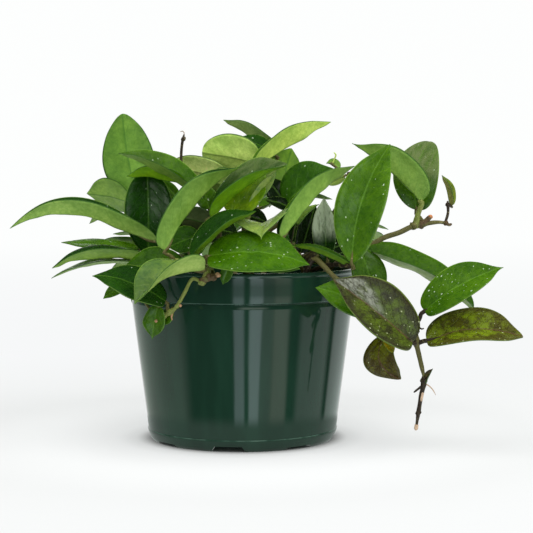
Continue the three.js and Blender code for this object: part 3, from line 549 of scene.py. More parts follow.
def place_at(line, share):
    """The place at a share of the line's length."""
    far = distances(line)
    return np.array([np.interp(share * far[-1], far, line[:, k]) for k in range(3)])


def turns(count):
    """Evenly spaced angles once round."""
    return np.linspace(0, 2 * np.pi, count, endpoint=False)


def compass(degrees):
    """The cosine and sine of a bearing."""
    return math.cos(math.radians(degrees)), math.sin(math.radians(degrees))


class Shell:
    """Gathers vertices, faces and what they carry, and makes one mesh object of them."""

    def __init__(self):
        self.places, self.faces, self.skins = [], [], []
        self.carried = {}
        self.count = 0

    def add(self, places, faces, skins=None, **carried):
        self.places.append(places)
        self.faces += [tuple(self.count + k for k in face) for face in faces]
        self.skins += skins or [0] * len(faces)
        for name, values in carried.items():
            self.carried.setdefault(name, []).append(np.broadcast_to(values, (len(places), 3)))
        self.count += len(places)

    def build(self, name, materials):
        mesh = bpy.data.meshes.new(name)
        mesh.from_pydata(np.vstack(self.places) * MM, [], self.faces)
        for key, values in self.carried.items():
            layer = mesh.attributes.new(key, "FLOAT_VECTOR", "POINT")
            layer.data.foreach_set("vector", np.vstack(values).astype(np.float32).ravel())
        for material in materials:
            mesh.materials.append(material)
        mesh.polygons.foreach_set("material_index", self.skins)
        mesh.shade_smooth()
        mesh.update()
        made = bpy.data.objects.new(name, mesh)
        bpy.context.scene.collection.objects.link(made)
        return made


def ring_faces(rings, size):
    """Quads between rings of vertices that follow each other."""
    return [
        (i * size + j, i * size + (j + 1) % size, (i + 1) * size + (j + 1) % size, (i + 1) * size + j)
        for i in range(rings - 1)
        for j in range(size)
    ]


def tube_faces(rings, size):
    """Faces of a closed tube: those between its rings, then a fan to the point of each end."""
    count = rings * size
    top = count - size
    faces = ring_faces(rings, size)
    faces += [((j + 1) % size, j, count) for j in range(size)]
    faces += [(top + j, top + (j + 1) % size, count + 1) for j in range(size)]
    return faces


def inside_out(faces):
    return [face[::-1] for face in faces]


def capped(rings, ends=None):
    """The rings' places, then the point of each end: the middle of its ring unless it is given."""
    return np.vstack([rings.reshape(-1, 3), *(ends or (rings[0].mean(0), rings[-1].mean(0)))])


def ball(rings, sides, opening):
    """Rings round a ball of radius 1, with an opening at each end."""
    turn = np.linspace(opening, np.pi - opening, rings)[:, None]
    angle = turns(sides)[None, :]
    away = np.sin(turn)
    return np.stack([away * np.cos(angle), away * np.sin(angle), np.cos(turn) + 0 * angle], axis=-1)


def outline(shape, s):
    """Half the blade's width as a share of its widest, from base (0) to tip (1)."""
    blunt = shape.base_blunt + (shape.tip_blunt - shape.base_blunt) * s
    full = np.maximum(np.sin(np.pi * s ** shape.peak), 0) ** blunt
    return full * (1 - shape.drip * smooth(s, 0.78, 1))


def blade_middle(shape, s, t):
    """Places of the blade's middle surface: s runs from base to tip, and t from -1 to 1 across."""
    base = np.array(shape.base, float)
    along = np.array(shape.tip, float) - base
    length = np.linalg.norm(along)
    along = along / length
    upper = np.array(shape.upper, float)
    upper = unit(upper - along * (upper @ along))
    across = np.cross(along, upper)
    s, t = np.broadcast_arrays(s, t)
    lift = shape.bow * 4 * s * (1 - s) + shape.hook * 6.75 * s * s * (1 - s)
    lift = lift - shape.droop * smooth(s, 0.7, 1)
    slope = shape.bow * 4 * (1 - 2 * s) + shape.hook * 6.75 * (2 * s - 3 * s * s)
    local = unit(upper - along * slope[..., None])
    turn = (np.radians(shape.twist) * (s - 0.5))[..., None]
    side = across * np.cos(turn) + local * np.sin(turn)
    rise = local * np.cos(turn) - across * np.sin(turn)
    half = np.maximum(shape.width / 2 * outline(shape, s), END_HALF_WIDTH)
    fold = np.radians(shape.fold + np.where(t > 0, shape.uneven, -shape.uneven))
    soft = np.hypot(t, FOLD_ROUNDING) - FOLD_ROUNDING
    ripple = shape.wave / 2 * t * t * np.sin(2 * np.pi * WAVES * s + np.where(t > 0, 2, 0.4))
    places = base + along * (length * s)[..., None] + upper * (length * lift)[..., None]
    places = places + across * (length * shape.sweep * 4 * s * (1 - s))[..., None]
    places = places + side * (half * t * np.cos(fold))[..., None]
    places = places + rise * (half * (soft * np.sin(fold) + ripple))[..., None]
    return places, half, length


def add_blade(shell, shape, rng):
    """One blade: a thin shell whose upper face dips at the midrib and whose underside has a ridge there."""
    s = ((1 - np.cos(np.linspace(0, np.pi, ROWS + 1))) / 2)[:, None]
    u = np.linspace(-1, 1, COLUMNS)
    t = (0.6 * u + 0.4 * u ** 3)[None, :]
    middle, half, length = blade_middle(shape, s, t)
    normal = unit(np.cross(np.gradient(middle, axis=1), np.gradient(middle, axis=0)))
    s, t = np.broadcast_arrays(s, t)
    across = half * t
    flat = np.stack([length * s, across], axis=-1)
    body = np.sqrt(np.maximum(1 - t * t, 0)) * smooth(half, 0, 3)
    thick = (BLADE_EDGE + (BLADE_MIDDLE - BLADE_EDGE) * body) / 2
    shift = FINE_WAVE[0] * ripples(flat, FINE_WAVE[1], rng) * body
    shift = shift + BROAD_WAVE[0] * ripples(flat, BROAD_WAVE[1], rng) * smooth(half, 0, 8)
    shift = shift - EDGE_CURL * smooth(np.abs(t), 0.72, 1) * smooth(half, 2, 9)
    quilt = QUILTING * np.cos(2 * np.pi * (length * s - VEIN_SLANT * np.abs(across)) / VEIN_SPACING) * body
    (deep, wide), (high, broad) = MIDRIB_GROOVE, MIDRIB_RIDGE
    groove = deep * np.exp(-((across / wide) ** 2)) * smooth(half, 0.6, 4)
    ridge = high * np.exp(-((across / broad) ** 2)) * (1 - 0.75 * s) * smooth(half, 0.6, 4)
    top = middle + normal * (shift + thick - groove + quilt)[..., None]
    low = middle + normal * (shift - thick - ridge + 0.6 * quilt)[..., None]
    rings = np.concatenate([top, low[:, ::-1]], axis=1)
    size = 2 * COLUMNS
    under = LEAF_SKINS.index("under")
    face_up = LEAF_SKINS.index("mottled_top" if shape.mottled else "top")
    skins = [face_up if j < COLUMNS - 1 else under for _ in range(ROWS) for j in range(size)]
    skins += [under] * (2 * size)

    def both(values, ends):
        whole = np.concatenate([values, values[:, ::-1]], axis=1)
        return capped(whole, ends)

    number = rng.uniform(0, 90)
    spot = np.stack([length * s, across, np.full_like(s, number)], axis=-1)
    spot = both(spot, [(0, 0, number), (length, 0, number)])
    blade = both(np.stack([s, t, half], axis=-1), [(0, 0, 0), (1, 0, 0)])
    look = (rng.uniform(-1, 1), shape.flecks, shape.silver)
    row = [shape.top] * COLUMNS + [shape.under] * COLUMNS
    tint = np.array(row * (ROWS + 1) + [shape.under] * 2)
    shell.add(capped(rings), tube_faces(ROWS + 1, size), skins, spot=spot, blade=blade, tint=tint, look=look)


def add_tube(shell, line, radius, tint, sides=TUBE_SIDES):
    """A round tube along the line, with a radius at each place and rounded ends."""
    tangent = unit(np.gradient(line, axis=0))
    side = unit(np.cross(tangent[0], TUBE_FIRST_SIDE))
    turned = []
    for direction in tangent:
        side = unit(side - direction * (side @ direction))
        turned.append(side)
    side = np.array(turned)
    other = np.cross(tangent, side)
    angle = turns(sides)
    around = side[:, None] * np.cos(angle)[None, :, None] + other[:, None] * np.sin(angle)[None, :, None]
    rings = line[:, None] + around * radius[:, None, None]
    ends = [line[0] - tangent[0] * radius[0] * 0.5, line[-1] + tangent[-1] * radius[-1] * 0.5]
    count = len(line)
    far = distances(line)
    spot = np.stack([np.repeat(far, sides), np.tile(angle, count), np.zeros(count * sides)], axis=-1)
    spot = np.vstack([spot, (0, 0, 0), (far[-1], 0, 0)])
    shell.add(capped(rings, ends), tube_faces(count, sides), spot=spot, tint=tint)


def add_stem(shell, one, nodes, rng):
    """A stem with swollen nodes where leaves leave it, a slightly uneven girth and a tapered end."""
    steps = max(6, int(distances(smooth_line(one.points, 60))[-1] / TUBE_STEP))
    line = smooth_line(one.points, steps)
    radius = np.full(len(line), one.radius, float)
    for node in nodes:
        gap = np.linalg.norm(line - node, axis=1)
        radius *= 1 + NODE_SWELL * np.exp(-((gap / NODE_REACH) ** 2))
    radius *= 1 + 0.06 * ripples(line, 7, rng)
    share = np.linspace(0, 1, len(line))
    radius *= 1 - (1 - one.end) * smooth(share, 0.75, 1)
    add_tube(shell, line, radius, one.tint)


def add_stalk(shell, shape, stem_places):
    """The leaf's stalk, from the nearest stem into the blade's midrib."""
    base = np.array(shape.base, float)
    along = unit(np.array(shape.tip, float) - base)
    near = base if shape.root is None else np.array(shape.root, float)
    start = stem_places[np.argmin(np.linalg.norm(stem_places - near, axis=1))]
    reach = np.linalg.norm(start - base)
    into, _, _ = blade_middle(shape, np.array(shape.merge), np.zeros(2))
    upper = np.array(shape.upper, float)
    under = -unit(upper - along * (upper @ along)) * STALK_SUNK
    points = [
        start + (base - start) * (-STALK_ROOT / reach),
        start + (base - start) * 0.45,
        base - along * min(shape.bend, reach * 0.25),
        into[0] + under,
        into[1] + under,
    ]
    line = smooth_line(points, max(8, int((reach + 6) / TUBE_STEP)))
    share = np.linspace(0, 1, len(line))
    slim = min(1, shape.width / 14)
    radius = shape.stalk * slim * (1 + 0.45 * (1 - smooth(share, 0, 0.3)) - 0.62 * smooth(share, 0.72, 1))
    add_tube(shell, line, radius, shape.stem, STALK_SIDES)
    return start


def add_knob(shell, centre, radius, tint, rng):
    """A lumpy node on a stem."""
    even = ball(KNOB_RINGS, KNOB_SIDES, 0.12)
    lumpy = radius * (1 + KNOB_LUMPS * ripples(even * radius, 2.6, rng))
    places = capped(np.array(centre, float) + even * lumpy[..., None])
    shell.add(places, inside_out(tube_faces(KNOB_RINGS, KNOB_SIDES)), spot=places * 0.7, tint=tint)


def back_vine(name, bearing, reach, lift, first, spread, dip, seed, fillers=()):
    """The stems and leaves of one vine on the far side, drawn as the frame draws them."""
    draw = seeded(seed)

    def heading(degrees, pitch):
        return unit(np.array([*compass(degrees), pitch]))

    out = heading(bearing, 0)
    course = [
        (BACK_FOOT, STEM_FOOT), (BACK_FOOT, STEM_COLLAR), (38, 112), (58, 120 + lift * 0.7), (80, 122 + lift),
        (reach, 120 + lift * 0.9),
    ]
    points = [tuple(out * radius + np.array([0, 0, height])) for radius, height in course]
    path = smooth_line(points, 200)
    leaves = []

    def add(share, degrees, pitch):
        along = heading(degrees, pitch)
        length = BACK_LEAF_LENGTH + 16 * next(draw)
        base = place_at(path, share) + along * BACK_STALK
        upper = [0.3 * along[k] + 0.3 * (next(draw) - 0.5) for k in (0, 1)]
        width = length * (0.46 + 0.08 * next(draw))
        fold = 14 + 22 * next(draw)
        bow = 0.07 + 0.06 * next(draw)
        twist = 30 * (next(draw) - 0.5)
        tints = (DEEP, GREEN, BRIGHT, GREEN)
        tint = tints[len(leaves) % len(tints)]
        tip = tuple(base + along * length)
        leaves.append(leaf(tuple(base), tip, (*upper, 1), width, fold, bow, twist=twist, top=tint))

    for k in range(2):
        add(first + PAIR_STEP * k, bearing + spread, 0.2 - dip * k)
        add(first + PAIR_STEP * k, bearing - spread, 0.1 - dip * k)
    add(0.98, bearing + 12 * (next(draw) - 0.5), -2 * dip)
    return name, dict(stems=[stem(BACK_RADIUS, points)], leaves=[*leaves, *fillers])


class Recipe:
    """The shader nodes of a material or a world: most calls add a node and give its result."""

    def __init__(self, owner):
        owner.use_nodes = True
        self.owner = owner
        self.tree = owner.node_tree

    def node(self, kind, inputs=(), **settings):
        made = self.tree.nodes.new("ShaderNode" + kind)
        for key, value in settings.items():
            setattr(made, key, value)
        for key, value in dict(inputs).items():
            self.feed(made.inputs[key], value)
        return made

    def feed(self, socket, value):
        if isinstance(value, bpy.types.NodeSocket):
            self.tree.links.new(value, socket)
        elif isinstance(value, tuple) and len(value) == 3 and socket.type == "RGBA":
            socket.default_value = (*value, 1)
        else:
            socket.default_value = value

    def carried(self, name):
        return self.node("Attribute", attribute_name=name).outputs["Vector"]

    def place(self):
        return self.node("TexCoord").outputs["Object"]

    def parts(self, vector):
        return self.node("SeparateXYZ", {0: vector}).outputs

    def vector(self, x, y, z):
        return self.node("CombineXYZ", {0: x, 1: y, 2: z}).outputs[0]

    def maths(self, operation, a, b=0.0):
        return self.node("Math", {0: a, 1: b}, operation=operation).outputs[0]

    def times(self, value, *factors):
        for factor in factors:
            value = self.maths("MULTIPLY", value, factor)
        return value

    def step(self, value, low, high, start=0.0, end=1.0):
        """start below low, end above high and a smooth step between them."""
        inputs = {"Value": value, "From Min": low, "From Max": high, "To Min": start, "To Max": end}
        return self.node("MapRange", inputs, interpolation_type="SMOOTHSTEP").outputs["Result"]

    def fall(self, value, low, high, end=0.0):
        """A step down from 1 to end."""
        return self.step(value, low, high, 1.0, end)

    def noise(self, vector, scale, detail=2.0, roughness=0.5):
        inputs = {"Vector": vector, "Scale": scale, "Detail": detail, "Roughness": roughness}
        return self.node("TexNoise", inputs).outputs["Fac"]

    def cells(self, vector, scale):
        made = self.node("TexVoronoi", {"Vector": vector, "Scale": scale})
        return made.outputs["Distance"], self.parts(made.outputs["Color"])[0]

    def mix(self, share, a, b, blend="MIX"):
        made = self.node("Mix", {0: share}, data_type="RGBA", blend_type=blend)
        self.feed(made.inputs[6], a)
        self.feed(made.inputs[7], b)
        return made.outputs[2]

    def shaded(self, share, base, low, high):
        """The base colour times low where share is 0 and times high where share is 1."""
        return self.mix(1.0, base, self.mix(share, low, high), "MULTIPLY")

    def bump(self, height, strength, distance, under=None):
        made = self.node("Bump", {"Height": height, "Strength": strength, "Distance": distance * MM})
        if under is not None:
            self.feed(made.inputs["Normal"], under)
        return made.outputs["Normal"]

    def glow(self, tint, strength=1.0):
        return self.node("Emission", {"Color": tint, "Strength": strength}).outputs[0]

    def either(self, share, a, b):
        """One surface where share is 0 and another where it is 1."""
        return self.node("MixShader", {0: share, 1: a, 2: b}).outputs[0]

    def finish(self, **inputs):
        """Feeds the material's own shader."""
        shader = self.tree.nodes["Principled BSDF"]
        for key, value in inputs.items():
            self.feed(shader.inputs[key.replace("_", " ")], value)
        return self.owner


def new_skin(name):
    return Recipe(bpy.data.materials.new(name))


def leaf_places(r):
    """What every leaf material reads: the colour, the place on the blade and the blade's own look."""
    along, across, number = r.parts(r.carried("spot"))
    share, side, _ = r.parts(r.carried("blade"))
    tone, flecks, silver = r.parts(r.carried("look"))
    off = r.maths("ABSOLUTE", across)
    flat = r.vector(along, across, number)
    vein = r.maths("DIVIDE", r.maths("SUBTRACT", along, r.times(off, VEIN_SLANT)), VEIN_SPACING)
    wander = r.times(r.noise(flat, 0.12), 1.4)
    wave = r.maths("PINGPONG", r.maths("ADD", vein, wander), 0.5)
    return SimpleNamespace(
        tint=r.carried("tint"), along=along, across=across, share=share, side=side, number=number, flat=flat,
        edge=r.maths("ABSOLUTE", side), tone=r.step(tone, -1.0, 1.0), flecks=flecks, silver=silver,
        veins=r.fall(wave, 0.0, 0.09), midrib=r.fall(off, 0.25, 0.95),
        drawn_out=r.vector(r.times(along, 0.3), across, number),
    )


def speckles(r, at, scale, size, share):
    """Small marks: some cells of a pattern hold one, and share says how many do."""
    stretched = r.vector(at.along, r.times(at.across, 1.6), at.number)
    warp = r.times(r.noise(at.flat, 1.3, 3, 0.6), 1.3, size)
    distance, chance = r.cells(stretched, scale)
    mark = r.fall(r.maths("ADD", distance, warp), size * 1.15, size * 1.6)
    kept = r.step(r.maths("ADD", chance, r.times(at.flecks, share)), 1.0, 1.02)
    return r.times(mark, kept)


def leaf_top():
    """Waxy upper face: deep green with a paler midrib, faint veins and scattered silvery flecks; a pale edge
    line is painted highlight, and a silvery streak towards the tip is partly painted sheen.
    """
    r = new_skin("leaf_upper_face")
    at = leaf_places(r)
    clouds = r.step(r.noise(at.flat, 0.06, 3), 0.3, 0.72)
    base = r.shaded(clouds, at.tint, (0.68, 0.74, 0.8), (1.45, 1.25, 1.1))
    base = r.shaded(at.tone, base, (0.78, 0.82, 0.9), (1.12, 1.1, 1.0))
    blotches = r.step(r.noise(at.flat, 0.4, 4, 0.6), 0.42, 0.7)
    base = r.shaded(blotches, base, (1.06, 1.04, 1.0), (0.66, 0.76, 0.9))
    base = r.shaded(at.veins, base, UNCHANGED, (1.3, 1.18, 1.3))
    base = r.mix(r.times(at.midrib, 0.2), base, MIDRIB)
    # Partly painted sheen: streaky silvery colour towards the tip, as strong as the leaf's amount, turning
    # bright where the amount is above 1
    streaky = r.step(r.noise(at.drawn_out, 0.4, 4, 0.7), 0.32, 0.62, 0.34, 1.0)
    silver_sheen_wash = r.times(at.silver, r.step(at.share, 0.25, 0.6), streaky)
    base = r.mix(silver_sheen_wash, base, r.mix(r.step(at.silver, 0.9, 1.4), SILVER_SHEEN_DULL, SILVER_SHEEN_BRIGHT))
    # Painted highlight: a pale line along the upper face's edge
    base = r.mix(r.step(at.edge, 0.955, 0.99, 0.0, 0.55), base, RIM_HIGHLIGHT)
    marks = r.maths("MAXIMUM", speckles(r, at, 0.36, 0.19, 0.17), speckles(r, at, 0.15, 0.13, 0.26))
    base = r.mix(r.times(marks, 0.85), base, FLECK)
    rough = r.step(r.noise(at.flat, 0.3, 3), 0.3, 0.7, 0.2, 0.32)
    fine = r.bump(r.noise(at.flat, 1.6, 4, 0.6), 0.4, 0.12)
    ribbed = r.bump(r.times(at.veins, -1.0), 0.5, 0.18, fine)
    return r.finish(Base_Color=base, Roughness=rough, Normal=ribbed, Specular_IOR_Level=0.32)


def leaf_under():
    """Matt underside: light yellow-green with faint blotches, a darker midrib and a thin dark rim."""
    r = new_skin("leaf_underside")
    at = leaf_places(r)
    clouds = r.step(r.noise(at.flat, 0.08, 4, 0.6), 0.34, 0.68)
    base = r.shaded(clouds, at.tint, (0.78, 0.85, 0.72), (1.12, 1.08, 1.12))
    blotches = r.step(r.noise(at.flat, 0.45, 5, 0.65), 0.4, 0.62)
    base = r.shaded(blotches, base, (0.93, 0.97, 0.85), (1.2, 1.16, 1.24))
    base = r.shaded(at.tone, base, (0.86, 0.88, 0.9), (1.1, 1.08, 1.0))
    base = r.shaded(r.step(at.edge, 0.2, 0.9), base, (1.08, 1.06, 1.05), (0.8, 0.86, 0.78))
    base = r.shaded(at.veins, base, UNCHANGED, (0.84, 0.92, 0.8))
    base = r.mix(r.times(at.midrib, 0.55), base, UNDER_MIDRIB)
    base = r.mix(r.step(at.edge, 0.93, 0.98, 0.0, 0.9), base, UNDER_RIM)
    base = r.mix(r.times(speckles(r, at, 0.1, 0.06, 0.3), 0.5), base, UNDER_SPOT)
    rough = r.step(r.noise(at.flat, 0.3, 2), 0.3, 0.7, 0.42, 0.58)
    fine = r.bump(r.noise(at.flat, 1.2, 4, 0.6), 0.35, 0.14)
    ribbed = r.bump(at.veins, 0.25, 0.14, fine)
    return r.finish(Base_Color=base, Roughness=rough, Normal=ribbed, Specular_IOR_Level=0.4)


def mottled_top():
    """Olive and bronze upper face with dark veins and small pale flecks; a silvery streak beside the midrib
    is painted sheen, and a pale edge line is painted highlight.
    """
    r = new_skin("mottled_leaf_upper_face")
    at = leaf_places(r)
    clouds = r.step(r.noise(at.flat, 0.12, 4, 0.62), 0.38, 0.6)
    clouds = r.times(clouds, r.fall(at.edge, 0.55, 0.95), r.fall(at.share, 0.6, 0.85, 0.35))
    base = r.shaded(clouds, at.tint, UNCHANGED, (2.3, 3.3, 0.8))
    base = r.mix(r.step(r.noise(at.flat, 0.2, 4, 0.6), 0.52, 0.74, 0.0, 0.5), base, MOTTLED_BROWN)
    net = r.maths("ABSOLUTE", r.maths("SUBTRACT", r.noise(at.flat, 0.17, 3, 0.6), 0.5))
    lines = r.maths("MAXIMUM", at.veins, r.fall(net, 0.0, 0.03))
    base = r.shaded(lines, base, UNCHANGED, (0.55, 0.48, 0.5))
    base = r.mix(r.times(at.midrib, 0.6), base, MOTTLED_MIDRIB)
    # Painted sheen: streaky silvery colour beside the midrib on one side, towards the tip
    reach = r.maths("SUBTRACT", at.side, r.times(r.maths("SUBTRACT", at.share, 0.37), 1.75))
    silver_sheen_wash = r.times(
        r.step(at.side, -0.02, 0.06), r.fall(reach, -0.04, 0.16), r.step(at.share, 0.25, 0.6),
        r.fall(at.side, 0.74, 0.88), r.fall(at.share, 0.92, 1.0), at.silver,
        r.step(r.noise(at.drawn_out, 0.5, 5, 0.7), 0.36, 0.58, 0.12, 1.0), r.step(lines, 0.0, 1.0, 0.95, 0.5),
    )
    base = r.mix(silver_sheen_wash, base, MOTTLED_SILVER_SHEEN)
    # Painted highlight: a pale line along the upper face's edge
    base = r.mix(r.step(at.edge, 0.94, 0.985, 0.0, 0.75), base, MOTTLED_RIM_HIGHLIGHT)
    marks = r.maths("MAXIMUM", speckles(r, at, 0.32, 0.2, 0.2), speckles(r, at, 0.14, 0.12, 0.3))
    base = r.mix(r.times(marks, 0.8), base, MOTTLED_FLECK)
    rough = r.step(r.noise(at.flat, 0.3, 3), 0.3, 0.7, 0.2, 0.36)
    fine = r.bump(r.noise(at.flat, 1.0, 4, 0.6), 0.6, 0.25)
    ribbed = r.bump(r.times(lines, -1.0), 0.5, 0.25, fine)
    return r.finish(Base_Color=base, Roughness=rough, Normal=ribbed, Specular_IOR_Level=0.4)


def stem_bark():
    """Stems: their own colour with streaks along them, pale dots and a fine uneven skin."""
    r = new_skin("stem_skin")
    along, around, _ = r.parts(r.carried("spot"))
    place = r.place()
    streaks = r.noise(r.vector(r.times(along, 0.2), r.times(around, 1.6), 0.0), 1.4, 4)
    base = r.mix(r.step(streaks, 0.4, 0.7, 0.0, 0.5), r.carried("tint"), STEM_STREAK)
    base = r.mix(r.step(r.noise(place, 480, 3), 0.55, 0.75, 0.0, 0.5), base, STEM_DOT)
    fine = r.bump(r.noise(place, 900, 3, 0.6), 0.6, 0.25)
    return r.finish(Base_Color=base, Roughness=0.55, Normal=fine, Specular_IOR_Level=0.35)


def pot_plastic():
    """Glossy dark green moulded plastic, with thin pale highlight lines painted along its edges, mould
    streaks and slightly wavy walls.
    """
    r = new_skin("pot_plastic")
    x, y, z = r.parts(r.place())
    tall = r.vector(x, y, r.times(z, 0.12))
    flat = r.vector(x, y, 0.0)
    base = r.mix(r.step(r.noise(tall, 60, 3), 0.4, 0.65), POT_DARK, POT_LIGHT)
    # Painted highlight: thin pale lines at the edge heights, patchy along their length
    edge_highlight = 0.0
    for level in HIGHLIGHT_LINE_LEVELS:
        off = r.maths("ABSOLUTE", r.maths("SUBTRACT", z, level * MM))
        edge_highlight = r.maths("MAXIMUM", edge_highlight, r.fall(off, 0.0001, 0.0004))
    patchy = r.step(r.noise(flat, 70, 3), 0.38, 0.6, 0.1, 0.55)
    base = r.mix(r.times(edge_highlight, patchy), base, POT_EDGE_HIGHLIGHT)
    facing = r.node("NewGeometry").outputs["Normal"]
    outward = r.node("VectorMath", {0: facing, 1: flat}, operation="DOT_PRODUCT").outputs["Value"]
    level_gloss = r.step(r.parts(facing)[2], 0.4, 0.9, 0.5, 0.12)
    gloss = r.maths("MINIMUM", level_gloss, r.step(outward, -0.02, -0.001, 0.06, 0.5))
    rough = r.step(r.noise(tall, 90, 3), 0.35, 0.7, 0.06, 0.1)
    rough = r.maths("MAXIMUM", rough, r.step(outward, -0.02, -0.001, 0.5, 0.0))
    fine = r.bump(r.noise(tall, 150, 2), 0.06, 0.2)
    wavy = r.bump(r.noise(tall, 34, 1), 0.12, 0.8, fine)
    return r.finish(Base_Color=base, Roughness=rough, Normal=wavy, Specular_IOR_Level=gloss)


def damp_and_shaded_mix():
    """Dark, damp bark and fibre, made darker still as painted shade inside the pot."""
    r = new_skin("potting_mix_crumbs")
    place = r.place()
    base = r.mix(r.step(r.noise(place, 180, 5, 0.65), 0.35, 0.65), SOIL_DARK, SOIL_LIGHT)
    distance, chance = r.cells(place, 420)
    base = r.mix(r.step(chance, 0.86, 0.9, 0.0, 0.5), base, SOIL_GRAIN)
    fine = r.bump(r.maths("ADD", r.noise(place, 700, 5, 0.7), distance), 0.9, 0.9)
    return r.finish(Base_Color=base, Roughness=0.85, Normal=fine, Specular_IOR_Level=0.3)


def bark():
    """Bark chips in the mix."""
    r = new_skin("bark_chips")
    place = r.place()
    base = r.mix(r.step(r.noise(place, 140, 5, 0.65), 0.35, 0.65), CHIP_DARK, CHIP_LIGHT)
    fine = r.bump(r.noise(place, 800, 5, 0.7), 0.8, 0.6)
    return r.finish(Base_Color=base, Roughness=0.8, Normal=fine, Specular_IOR_Level=0.3)


def stand_for(piece, node):
    """The piece rides on the one body and takes the place of its CAD node."""
    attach(piece, "root")
    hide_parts(node)


def rounded(profile, radius=0.35, steps=3):
    """The profile with each corner rounded, and long stretches cut into short ones."""
    points = [np.array(p, float) for p in profile]
    made = [points[0]]
    for before, corner, after in zip(points, points[1:], points[2:]):
        cut = min(radius, 0.45 * np.linalg.norm(before - corner), 0.45 * np.linalg.norm(after - corner))
        start = corner + unit(before - corner) * cut
        end = corner + unit(after - corner) * cut
        for k in range(steps + 1):
            w = k / steps
            made.append(start * (1 - w) ** 2 + corner * 2 * w * (1 - w) + end * w * w)
    made.append(points[-1])
    fine = [made[0]]
    for a, b in zip(made, made[1:]):
        pieces = max(1, int(np.linalg.norm(b - a) / 5))
        fine += [a + (b - a) * (k + 1) / pieces for k in range(pieces)]
    return np.array(fine)


def lathe(name, profile, segments, material, uneven=0.0):
    """A profile of radius and height turned round the Z axis, from the axis back to the axis."""
    rng = np.random.default_rng(POT_SEED)
    angle = turns(segments)
    inner = profile[1:-1]
    radius = np.broadcast_to(inner[:, 0, None], (len(inner), segments))
    height = np.broadcast_to(inner[:, 1, None], radius.shape)
    rings = np.stack([radius * np.cos(angle), radius * np.sin(angle), height], axis=-1)
    drift = uneven * ripples(rings * (1, 1, 0.22), POT_WAVELENGTH, rng) * smooth(radius, 60, 66)
    rings[..., :2] += rings[..., :2] / np.maximum(radius, 1)[..., None] * drift[..., None]
    shell = Shell()
    ends = [(0, 0, profile[0][1]), (0, 0, profile[-1][1])]
    shell.add(capped(rings, ends), tube_faces(len(inner), segments))
    return shell.build(name, [material])


def cutting_block(first, second):
    """A closed block between two outlines with the same number of corners, to cut with."""
    count = len(first)
    faces = [tuple(range(count))[::-1], tuple(range(count, 2 * count))]
    faces += [(k, (k + 1) % count, count + (k + 1) % count, count + k) for k in range(count)]
    shell = Shell()
    shell.add(np.array([*first, *second], float), faces)
    return shell.build("cutter", [])


def cut(body, cutters):
    """Takes the cutters out of the body and removes them."""
    for cutter in cutters:
        change = body.modifiers.new("cut", "BOOLEAN")
        change.operation = "DIFFERENCE"
        change.solver = "EXACT"
        change.object = cutter
    bpy.context.view_layer.update()
    graph = bpy.context.evaluated_depsgraph_get()
    mesh = bpy.data.meshes.new_from_object(body.evaluated_get(graph))
    body.modifiers.clear()
    body.data = mesh
    for cutter in cutters:
        bpy.data.objects.remove(cutter)


def foot_notch(turn, height):
    """A cutter for one notch under the pot's foot, with slanted ends."""
    low, high = NOTCH_HALF_WIDTH + NOTCH_SLANT, NOTCH_HALF_WIDTH - NOTCH_SLANT
    section = [(-low, -1), (low, -1), (high, height), (-high, height)]
    c, s = compass(turn)
    reach = (FOOT_RADIUS - FOOT_WIDTH - 8, FOOT_RADIUS + 8)
    return cutting_block(*[[(r * c - x * s, r * s + x * c, z) for x, z in section] for r in reach])


def drain(turn):
    """A cutter for one hole in the pot's floor."""
    x, y = (DRAIN_HOLE_RING * part for part in compass(turn))
    rim = [(x + DRAIN_HOLE_RADIUS * math.cos(a), y + DRAIN_HOLE_RADIUS * math.sin(a))
           for a in turns(DRAIN_HOLE_SIDES)]
    return cutting_block(*[[(*corner, z) for corner in rim] for z in (FLOOR_UNDERSIDE - 2, FLOOR_TOP + 2)])


def pot():
    """The pot: a thin wall with a rim band and lip, a ring above the foot, and a notched, drained floor."""
    profile = [
        (0, 0), (PAD_RADIUS, 0), (PAD_RADIUS + 1, FLOOR_UNDERSIDE),
        (FOOT_RADIUS - FOOT_WIDTH - 1, FLOOR_UNDERSIDE), (FOOT_RADIUS - FOOT_WIDTH, 0), (FOOT_RADIUS, 0),
        (FOOT_RADIUS + 1.3, 1.9), (BASE_RADIUS + 0.25, BASE_RING_LEVEL - 1.2),
        (BASE_RADIUS + 0.5, BASE_RING_LEVEL + 0.2), (BASE_RADIUS + 0.05, BASE_RING_LEVEL + 0.6),
        (BASE_RADIUS + 0.1, BASE_RING_LEVEL + 1.1), (TOP_RADIUS - 0.3, BAND_FOOT - 3.4),
        (TOP_RADIUS - GROOVE_DEPTH, BAND_FOOT - 0.6), (RIM_RADIUS, BAND_FOOT + 0.3),
        (RIM_RADIUS + 0.2, LIP_FOOT - 0.9),
        (LIP_RADIUS, LIP_FOOT), (LIP_RADIUS, POT_HEIGHT - 0.6), (LIP_RADIUS - 0.6, POT_HEIGHT),
        (RIM_RADIUS - WALL, POT_HEIGHT), (RIM_RADIUS - WALL - 0.3, BAND_FOOT + 1),
        (TOP_RADIUS - WALL, BAND_FOOT - 1), (BASE_RADIUS - WALL, FLOOR_TOP), (0, FLOOR_TOP),
    ]
    made = lathe("pot_shell", rounded(profile), POT_SEGMENTS, pot_plastic(), POT_UNEVEN)
    notches = [foot_notch(NOTCH_TURN + 360 / NOTCHES * k, NOTCH_HEIGHTS[k % 2]) for k in range(NOTCHES)]
    cut(made, notches + [drain(270 + 360 / DRAIN_HOLES * k) for k in range(DRAIN_HOLES)])
    made.data.shade_smooth()
    made.data.set_sharp_from_angle(angle=math.radians(POT_SHARP_EDGE))
    stand_for(made, "pot")


def soil_height(x, y):
    return SOIL_LEVEL + SOIL_UNEVEN * np.sin(x * 0.11 + 1) * np.cos(y * 0.13)


